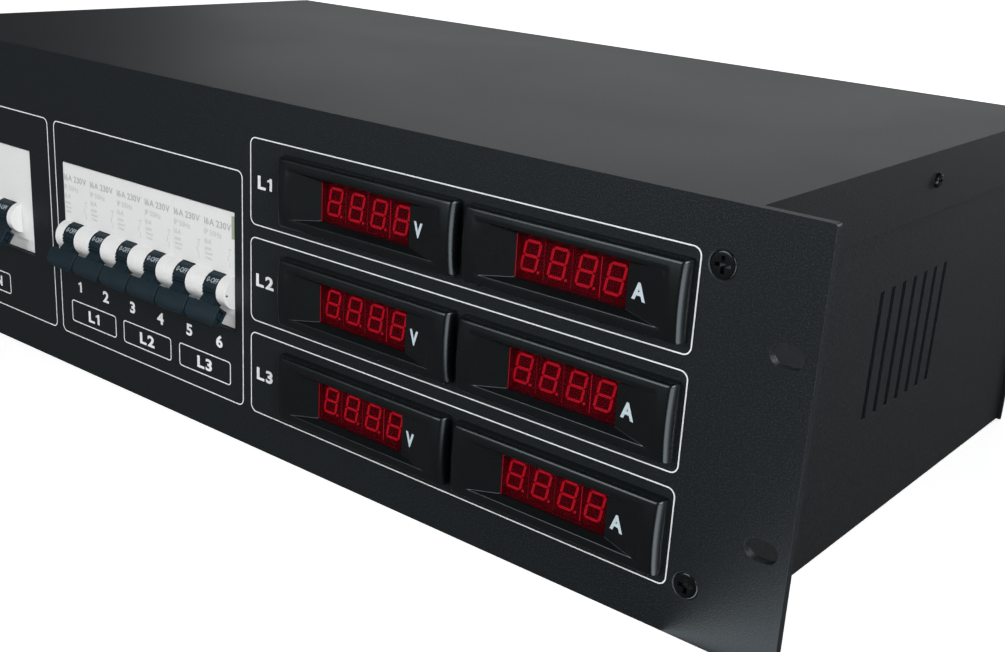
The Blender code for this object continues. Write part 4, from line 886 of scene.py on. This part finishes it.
def meters():
    """Bezels, windows, displays, digits, unit letters and glowing strips of painted reflection at the
    display's seams.
    """
    case_low, case_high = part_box(METERS[0] + "_case")
    half_x = (case_high.x - case_low.x) / 2
    half_z = (case_high.z - case_low.z) / 2
    still = Matrix.Identity(4)
    mesh = joined([(bezel_mesh(half_x, half_z), still), (housing_mesh(case_high.y - FRONT_Y), still)])
    digits, points, bright_reflection_strips, dim_reflection_strips = [], [], [], []
    for name in METERS:
        middle = front_middle(name + "_case")
        own = mesh.copy()
        own.transform(Matrix.Translation(middle))
        bezel = piece(name + "_bezel", own, "meter plastic", crease=60)
        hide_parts(name + "_case")
        column = name.split("_")[-1]
        piece(name + "_unit", unit_letter(column, middle), "unit print")
        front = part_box(name + "_display")[0].y - FILM_GAP
        for number in range(DIGIT_COUNT):
            x = middle.x + DIGIT_FIRST + number * DIGIT_PITCH
            digits.append(((x, front, middle.z + DIGIT_RISE), (0, -1, 0)))
            if number < DIGIT_COUNT - 1:
                points.append(digits[-1])
        # Painted reflections: a bright strip at the last seam between digits, dim strips at the other
        # seams and at the window's left edge
        seam_xs = [middle.x + DIGIT_FIRST + (number + 0.5) * DIGIT_PITCH
                   for number in range(DIGIT_COUNT - 1)]
        dim_reflection_strips += [((x, front, middle.z), (0, -1, 0)) for x in seam_xs[:-1]]
        bright_reflection_strips.append(((seam_xs[-1], front, middle.z), (0, -1, 0)))
        window_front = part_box(name + "_window")[0].y - FILM_GAP
        rim_x = middle.x - WINDOW_SIZE[0] / 2 + REFLECTION_STRIP_WIDTH
        dim_reflection_strips.append(((rim_x, window_front, middle.z), (0, -1, 0)))
        paint(name + "_window", "red filter")
        paint(name + "_display", "display plastic")
    copies("meter_digits", leaning(segment_outlines()), digits, "lit segment")
    copies("meter_points", leaning([point_outline()]), points, "lit segment")
    # Thin glowing strip that paints a reflection, copied to each of these places
    half_x, half_z = REFLECTION_STRIP_WIDTH / 2, WINDOW_SIZE[1] / 2
    seam = thickened([[(-half_x, -half_z), (half_x, -half_z), (half_x, half_z), (-half_x, half_z)]], FILM)
    copies("meter_bright_seams", seam.copy(), bright_reflection_strips, "bright painted reflection")
    copies("meter_dim_seams", seam.copy(), dim_reflection_strips, "dim painted reflection")


# Switchgear

def on_drum(mesh, x, turn):
    """Wrap a flat mark round a lever's drum, its middle turned up from the front."""
    axis_y, axis_z = LEVER_AXIS
    for vertex in mesh.vertices:
        up = turn + vertex.co.z / DRUM_RADIUS
        reach = DRUM_RADIUS + FILM_GAP - vertex.co.y
        vertex.co = (x + vertex.co.x, axis_y - reach * math.cos(up),
                     MID_Z + axis_z + reach * math.sin(up))
    return mesh


def drum_ribs(x):
    """Grip ribs across the front of a lever's drum."""
    width, height, depth = RIB_SIZE
    still = Matrix.Identity(4)
    low, high = (-width / 2, -depth, -height / 2), (width / 2, 0, height / 2)
    return joined([(on_drum(box_mesh(low, high), x, turn), still) for turn in DRUM_RIBS])


def rating_rows(rows, left):
    """Small lines on a label face, from their left edge."""
    return [(lettering(text, height, centred=False), on_label(left, z)) for text, height, z in rows]


def face_print(x):
    """Small rating lines on a breaker's label face."""
    marks = rating_rows(LABEL_ROWS, x + LABEL_LEFT)
    sign_x = x - LABEL_LEFT - SIGN_INSET
    for low, high in SIGN_BARS:
        marks.append((box_mesh((low[0], -FILM, low[1]), (high[0], 0, high[1])), on_label(sign_x, 0)))
    return marks


def rcd_print():
    """Rating and test lines on the residual current breaker's label face."""
    low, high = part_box("rcd_test_button")
    place = on_label((low.x + high.x) / 2, high.z - MID_Z + TEST_RISE)
    return rating_rows(RCD_ROWS, RCD_X + RCD_LABEL_LEFT) + [(lettering("TEST", TEST_TEXT), place)]


def cheek_pin():
    """Pivot pin seen on the right side of the last breaker's cheek."""
    pin = turned([(0, 0), (PIN_RADIUS, 0), (PIN_RADIUS, FILM / 2), (PIN_RADIUS * 0.6, FILM), (0, FILM)],
                 16)
    out, up = PIN_PLACE
    side = BREAKER_XS[-1] + BREAKER_WIDTH / 2 + CASE_REACH + FILM_GAP
    place = Matrix.Translation((side, FRONT_Y + out, MID_Z + up)) @ Matrix.Rotation(math.pi / 2, 4, "Y")
    piece("cheek_pin", joined([(pin, place)]), "pin steel")


def close_side_seams(shape):
    """Widen a breaker a little, so that the seam to its neighbour is as fine as the real one."""
    for end, way in ((min(vertex.co.x for vertex in shape.verts), -1),
                     (max(vertex.co.x for vertex in shape.verts), 1)):
        for vertex in shape.verts:
            if abs(vertex.co.x - end) < SAME_PLACE:
                vertex.co.x = end + way * CASE_REACH


def off_the_drum(edge):
    """Edges of a lever outside its drum, whose grip grooves stay sharp."""
    axis_y, axis_z = LEVER_AXIS
    return any(math.hypot(vertex.co.y - axis_y, vertex.co.z - MID_Z - axis_z) > DRUM_RADIUS + NEAR
               for vertex in edge.verts)


def switchgear():
    """Breakers, residual current breaker, levers and their print."""
    for name in BREAKERS + ["rcd"]:
        lever = name + "_lever"
        softened(name + "_case", name + "_moulding", "breaker plastic", FINE_ROUND,
                 adjust=close_side_seams)
        softened(lever, name + "_toggle", "lever plastic", SMALL_ROUND, lever, keep=off_the_drum)
        x = RCD_LEVER_X if name == "rcd" else BREAKER_XS[BREAKERS.index(name)]
        mark = lettering("0-OFF", DRUM_TEXT, DRUM_TEXT_STRETCH, slices=DRUM_TEXT_SLICES)
        piece(lever + "_print", on_drum(mark, x + DRUM_TEXT_SHIFT, DRUM_TEXT_TURN), "drum print", lever)
        piece(lever + "_ribs", drum_ribs(x), "lever plastic", lever)
    softened("rcd_test_button", "rcd_button", "button plastic", SMALL_ROUND, "rcd_test_button")
    marks = []
    titles = rcd_print()
    for x in BREAKER_XS:
        marks += face_print(x)
        titles.append((lettering(*TITLE, centred=False), on_label(x + LABEL_LEFT, TITLE_Z)))
    piece("switch_ratings", joined(titles), "grey print")
    piece("switch_print", joined(marks), "pale print")
    cheek_pin()
    # Greenish grey strip along the right edge of the last breaker's label face
    right = BREAKER_XS[-1] + BREAKER_WIDTH / 2 + CASE_REACH - EDGE_STRIP_INSET
    edge_strip = box_mesh((right - EDGE_STRIP_WIDTH, LABEL_Y - FILM_GAP - FILM, MID_Z + EDGE_STRIP_Z[0]),
                   (right, LABEL_Y - FILM_GAP, MID_Z + EDGE_STRIP_Z[1]))
    piece("breaker_tag", edge_strip, "greenish grey")


# Case

def at_front(edge):
    """Edges on the panel's front face."""
    return max(vertex.co.y for vertex in edge.verts) < FRONT_Y + NEAR


def away_from_panel(edge):
    """Edges of the cover that don't meet the front panel."""
    return min(vertex.co.y for vertex in edge.verts) > PANEL_BACK + COVER_JOINT


def close_to_panel(shape):
    """Bring the cover's front edge up to the panel, since no gap is seen between them."""
    for vertex in shape.verts:
        if vertex.co.y < cover_low.y + COVER_EDGE:
            vertex.co.y = PANEL_BACK + FILM_GAP


def cross_cut(mesh, recess, head, bottom, top):
    """A screw with a cross recess cut into its head, between two heights."""
    arm, half = (head * share for share in recess)
    for across, up in ((arm, half), (half, arm)):
        mesh = cut(mesh, (-across, -up, bottom), (across, up, top))
    return mesh


def case_screw():
    """Cross-head screw standing on z = 0, its head upwards and its shank below."""
    head, rise = CASE_HEAD_RADIUS, CASE_HEAD_RISE
    shank, length = CASE_SHANK
    profile = [(head * across, rise * up) for across, up in CASE_HEAD]
    profile += [(shank, 0), (shank, -length), (0, -length)]
    return cross_cut(turned(profile, 32), CASE_RECESS, head, rise * CASE_RECESS_FLOOR, 2 * rise)


def panel_screws():
    """Sunk cross-head screws of the front panel."""
    low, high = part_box("panel_screw_1")
    head = (high.x - low.x) / 2
    top = -PANEL_SCREW_SINK
    profile = [(head * across, top + up) for across, up in PANEL_HEAD]
    profile += [(head / 2, top - head / 2), (head * 0.45, -PANEL_SCREW_REACH), (0, -PANEL_SCREW_REACH)]
    mesh = cross_cut(turned(profile, 40), PANEL_RECESS, head, top - PANEL_RECESS_DEPTH, 1)
    upright = Matrix.Rotation(math.pi / 2, 4, "X")
    for number in range(1, 5):
        name = f"panel_screw_{number}"
        own = mesh.copy()
        own.transform(Matrix.Translation(front_middle(name)) @ upright)
        made = piece(f"front_screw_{number}", own, "black screw", crease=30)
        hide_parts(name)


def case_screws():
    """Screws of the cover, the rear panel, the sockets and the inlet."""
    places = []
    for side, x in ((-1, cover_low.x), (1, cover_high.x)):
        places += [((x, y, cover_high.z - SIDE_SCREW_DROP), (side, 0, 0)) for y in SIDE_SCREW_YS]
    for x in REAR_SCREW_XS:
        for z in (rear_low.z + REAR_SCREW_INSET, rear_high.z - REAR_SCREW_INSET):
            places.append(((x, REAR_Y, z), (0, 1, 0)))
    for name, reach in [(socket, FLANGE_SCREW) for socket in SOCKETS] + [("inlet", INLET_SCREW)]:
        low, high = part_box(name + "_body")
        middle = (low.x + high.x) / 2
        height = low.z + (high.x - low.x) / 2
        places += [((middle + side * reach, REAR_Y + FLANGE_DEPTH, height + up * reach), (0, 1, 0))
                   for side in (-1, 1) for up in (-1, 1)]
    copies("case_screws", case_screw(), places, "black screw", crease=30)


def case():
    """Panel, tray, cover, rear panel and their screws."""
    softened("front_panel", "panel_front", "powder coat", SHEET_ROUND, keep=at_front)
    softened("top_cover", "cover", "powder coat", SHEET_ROUND, keep=away_from_panel,
             adjust=close_to_panel)
    softened("rear_panel", "panel_rear", "powder coat", WIDE_ROUND)
    softened("chassis_tray", "tray", "powder coat", SMALL_ROUND)
    panel_screws()
    case_screws()


# Rear fittings

def rear():
    """Sockets, inlet, lids and their print."""
    marks = []
    for number, name in enumerate(SOCKETS, 1):
        softened(name + "_body", name + "_moulding", "socket plastic", WIDE_ROUND)
        softened(name + "_lid", name + "_cover", "socket plastic", WIDE_ROUND, name + "_lid")
        low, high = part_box(name + "_body")
        marks.append((lettering(str(number), LETTER_HEIGHT, NUMBER_STRETCH),
                      on_rear(low.x - SOCKET_NUMBER_OUT, low.z + (high.x - low.x) / 2)))
    softened("inlet_body", "inlet_moulding", "inlet plastic", WIDE_ROUND)
    softened("inlet_lid", "inlet_cover", "inlet plastic", WIDE_ROUND, "inlet_lid")
    softened("inlet_insert", "inlet_contacts", "insert plastic", SMALL_ROUND)
    low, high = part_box("inlet_body")
    marks.append((lettering(*INPUT_TEXT), on_rear((low.x + high.x) / 2, low.z - INPUT_DROP)))
    piece("rear_print", joined(marks), "white print")


def inside():
    """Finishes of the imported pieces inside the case."""
    paint("din_rail", "zinc plate")
    paint("phase_busbar", "busbar grey")
    paint("current_transformers", "transformer plastic")
    paint("wiring_loom", "lead insulation")


# Stage

def area_lamp(name, place, target, size, power):
    """A soft square lamp aimed at a point."""
    light = bpy.data.lights.new(name, "AREA")
    light.shape = "SQUARE"
    light.size = size
    light.energy = power
    lamp = add_object(name, light)
    lamp.location = place
    lamp.rotation_euler = (Vector(target) - Vector(place)).to_track_quat("-Z", "Y").to_euler()


def background():
    """World that is white behind the box and gives it a little light from all round."""
    world = bpy.data.worlds.new("studio")
    bpy.context.scene.world = world
    world.use_nodes = True
    tree = world.node_tree
    back = tree.nodes["Background"]
    set_values(back, {"Color": (1, 1, 1, 1)})
    path = add_node(tree, "ShaderNodeLightPath")
    seen = add_node(tree, "ShaderNodeMath", operation="MAXIMUM")
    level = add_node(tree, "ShaderNodeMapRange", {"To Min": AMBIENT, "To Max": 1.0})
    wire(tree, (path, "Is Camera Ray", seen, 0), (path, "Is Transmission Ray", seen, 1),
         (seen, "Value", level, "Value"), (level, "Result", back, "Strength"))


def turn_levels(tree, angle, levels):
    """A level for each direction about a point, from (degrees, level) stops with smooth changes."""
    share = add_node(tree, "ShaderNodeMapRange", {"From Min": -math.pi, "From Max": math.pi})
    ramp = add_node(tree, "ShaderNodeValToRGB")
    ramp.color_ramp.interpolation = "EASE"
    stops = ramp.color_ramp.elements
    while len(stops) < len(levels):
        stops.new(1.0)
    for stop, (degrees, level) in zip(stops, levels):
        stop.position = 0.5 + degrees / 360
        stop.color = (level, level, level, 1)
    wire(tree, (angle, "Value", share, "Value"), (share, "Result", ramp, "Fac"))
    return ramp


def floor():
    """White floor that keeps the box's shadow; reflections see it grey, but bright at the right front."""
    shape = bmesh.new()
    bmesh.ops.create_grid(shape, x_segments=1, y_segments=1, size=FLOOR_SIZE / 2)
    plane = add_object("floor", to_mesh("floor", shape))
    plane.location = (0, 0, -FLOOR_DROP)
    look = surface("floor paint", (0.90, 0.90, 0.90), (0.92, 0.92, 0.92), (0.8, 0.9), 0.002, 0.00002,
                   level=0.1)
    tree = look.node_tree
    shader = shader_of(look)
    paint_colour = shader.inputs["Base Color"].links[0].from_socket
    path = add_node(tree, "ShaderNodeLightPath")
    seen = add_node(tree, "ShaderNodeMix", data_type="RGBA")
    place = add_node(tree, "ShaderNodeTexCoord")
    away = add_node(tree, "ShaderNodeVectorMath", {1: (METER_FRAME_X[1], FRONT_Y, 0)},
                    operation="SUBTRACT")
    split = add_node(tree, "ShaderNodeSeparateXYZ")
    round_end = add_node(tree, "ShaderNodeMath", operation="ARCTAN2")
    grey = turn_levels(tree, round_end, DIM_FLOOR)
    patch = turn_levels(tree, round_end, LIT_FLOOR)
    mirrored = add_node(tree, "ShaderNodeMath", operation="MULTIPLY")
    distance = add_node(tree, "ShaderNodeVectorMath", operation="LENGTH")
    far = add_node(tree, "ShaderNodeMapRange", FLOOR_WHITE)
    glow = add_node(tree, "ShaderNodeMath", operation="MULTIPLY_ADD")
    tree.links.new(paint_colour, seen.inputs["A"])
    wire(tree, (path, "Is Glossy Ray", seen, "Factor"), (seen, "Result", shader, "Base Color"),
         (place, "Object", away, 0), (away, "Vector", split, "Vector"), (split, "Y", round_end, 0),
         (split, "X", round_end, 1), (grey, "Color", seen, "B"), (patch, "Color", mirrored, 0),
         (place, "Object", distance, 0), (distance, "Value", far, "Value"), (far, "Result", glow, 1),
         (path, "Is Glossy Ray", mirrored, 1), (path, "Is Camera Ray", glow, 0),
         (mirrored, "Value", glow, 2), (glow, "Value", shader, "Emission Strength"))
    set_values(shader, {"Emission Color": (1, 1, 1, 1)})
    plane.data.materials.append(look)


def camera():
    """Camera at the photo's viewing angle."""
    lens = bpy.data.cameras.new("photo view")
    lens.sensor_fit = "HORIZONTAL"
    lens.sensor_width = SENSOR
    lens.lens = FOCAL_PIXELS / PHOTO_WIDTH * SENSOR
    lens.clip_start = CLIP_START
    eye = add_object("photo view", lens)
    axes = Matrix((CAMERA_RIGHT, CAMERA_UP, CAMERA_BACK)).transposed().to_4x4()
    eye.matrix_world = Matrix.Translation(CAMERA_PLACE) @ axes
    bpy.context.scene.camera = eye


def main():
    """Build everything."""
    camera()
    background()
    floor()
    for lamp in LAMPS:
        area_lamp(*lamp)
    bpy.context.scene.view_settings.view_transform = "Standard"
    case()
    panel_print()
    switchgear()
    meters()
    rear()
    inside()


main()
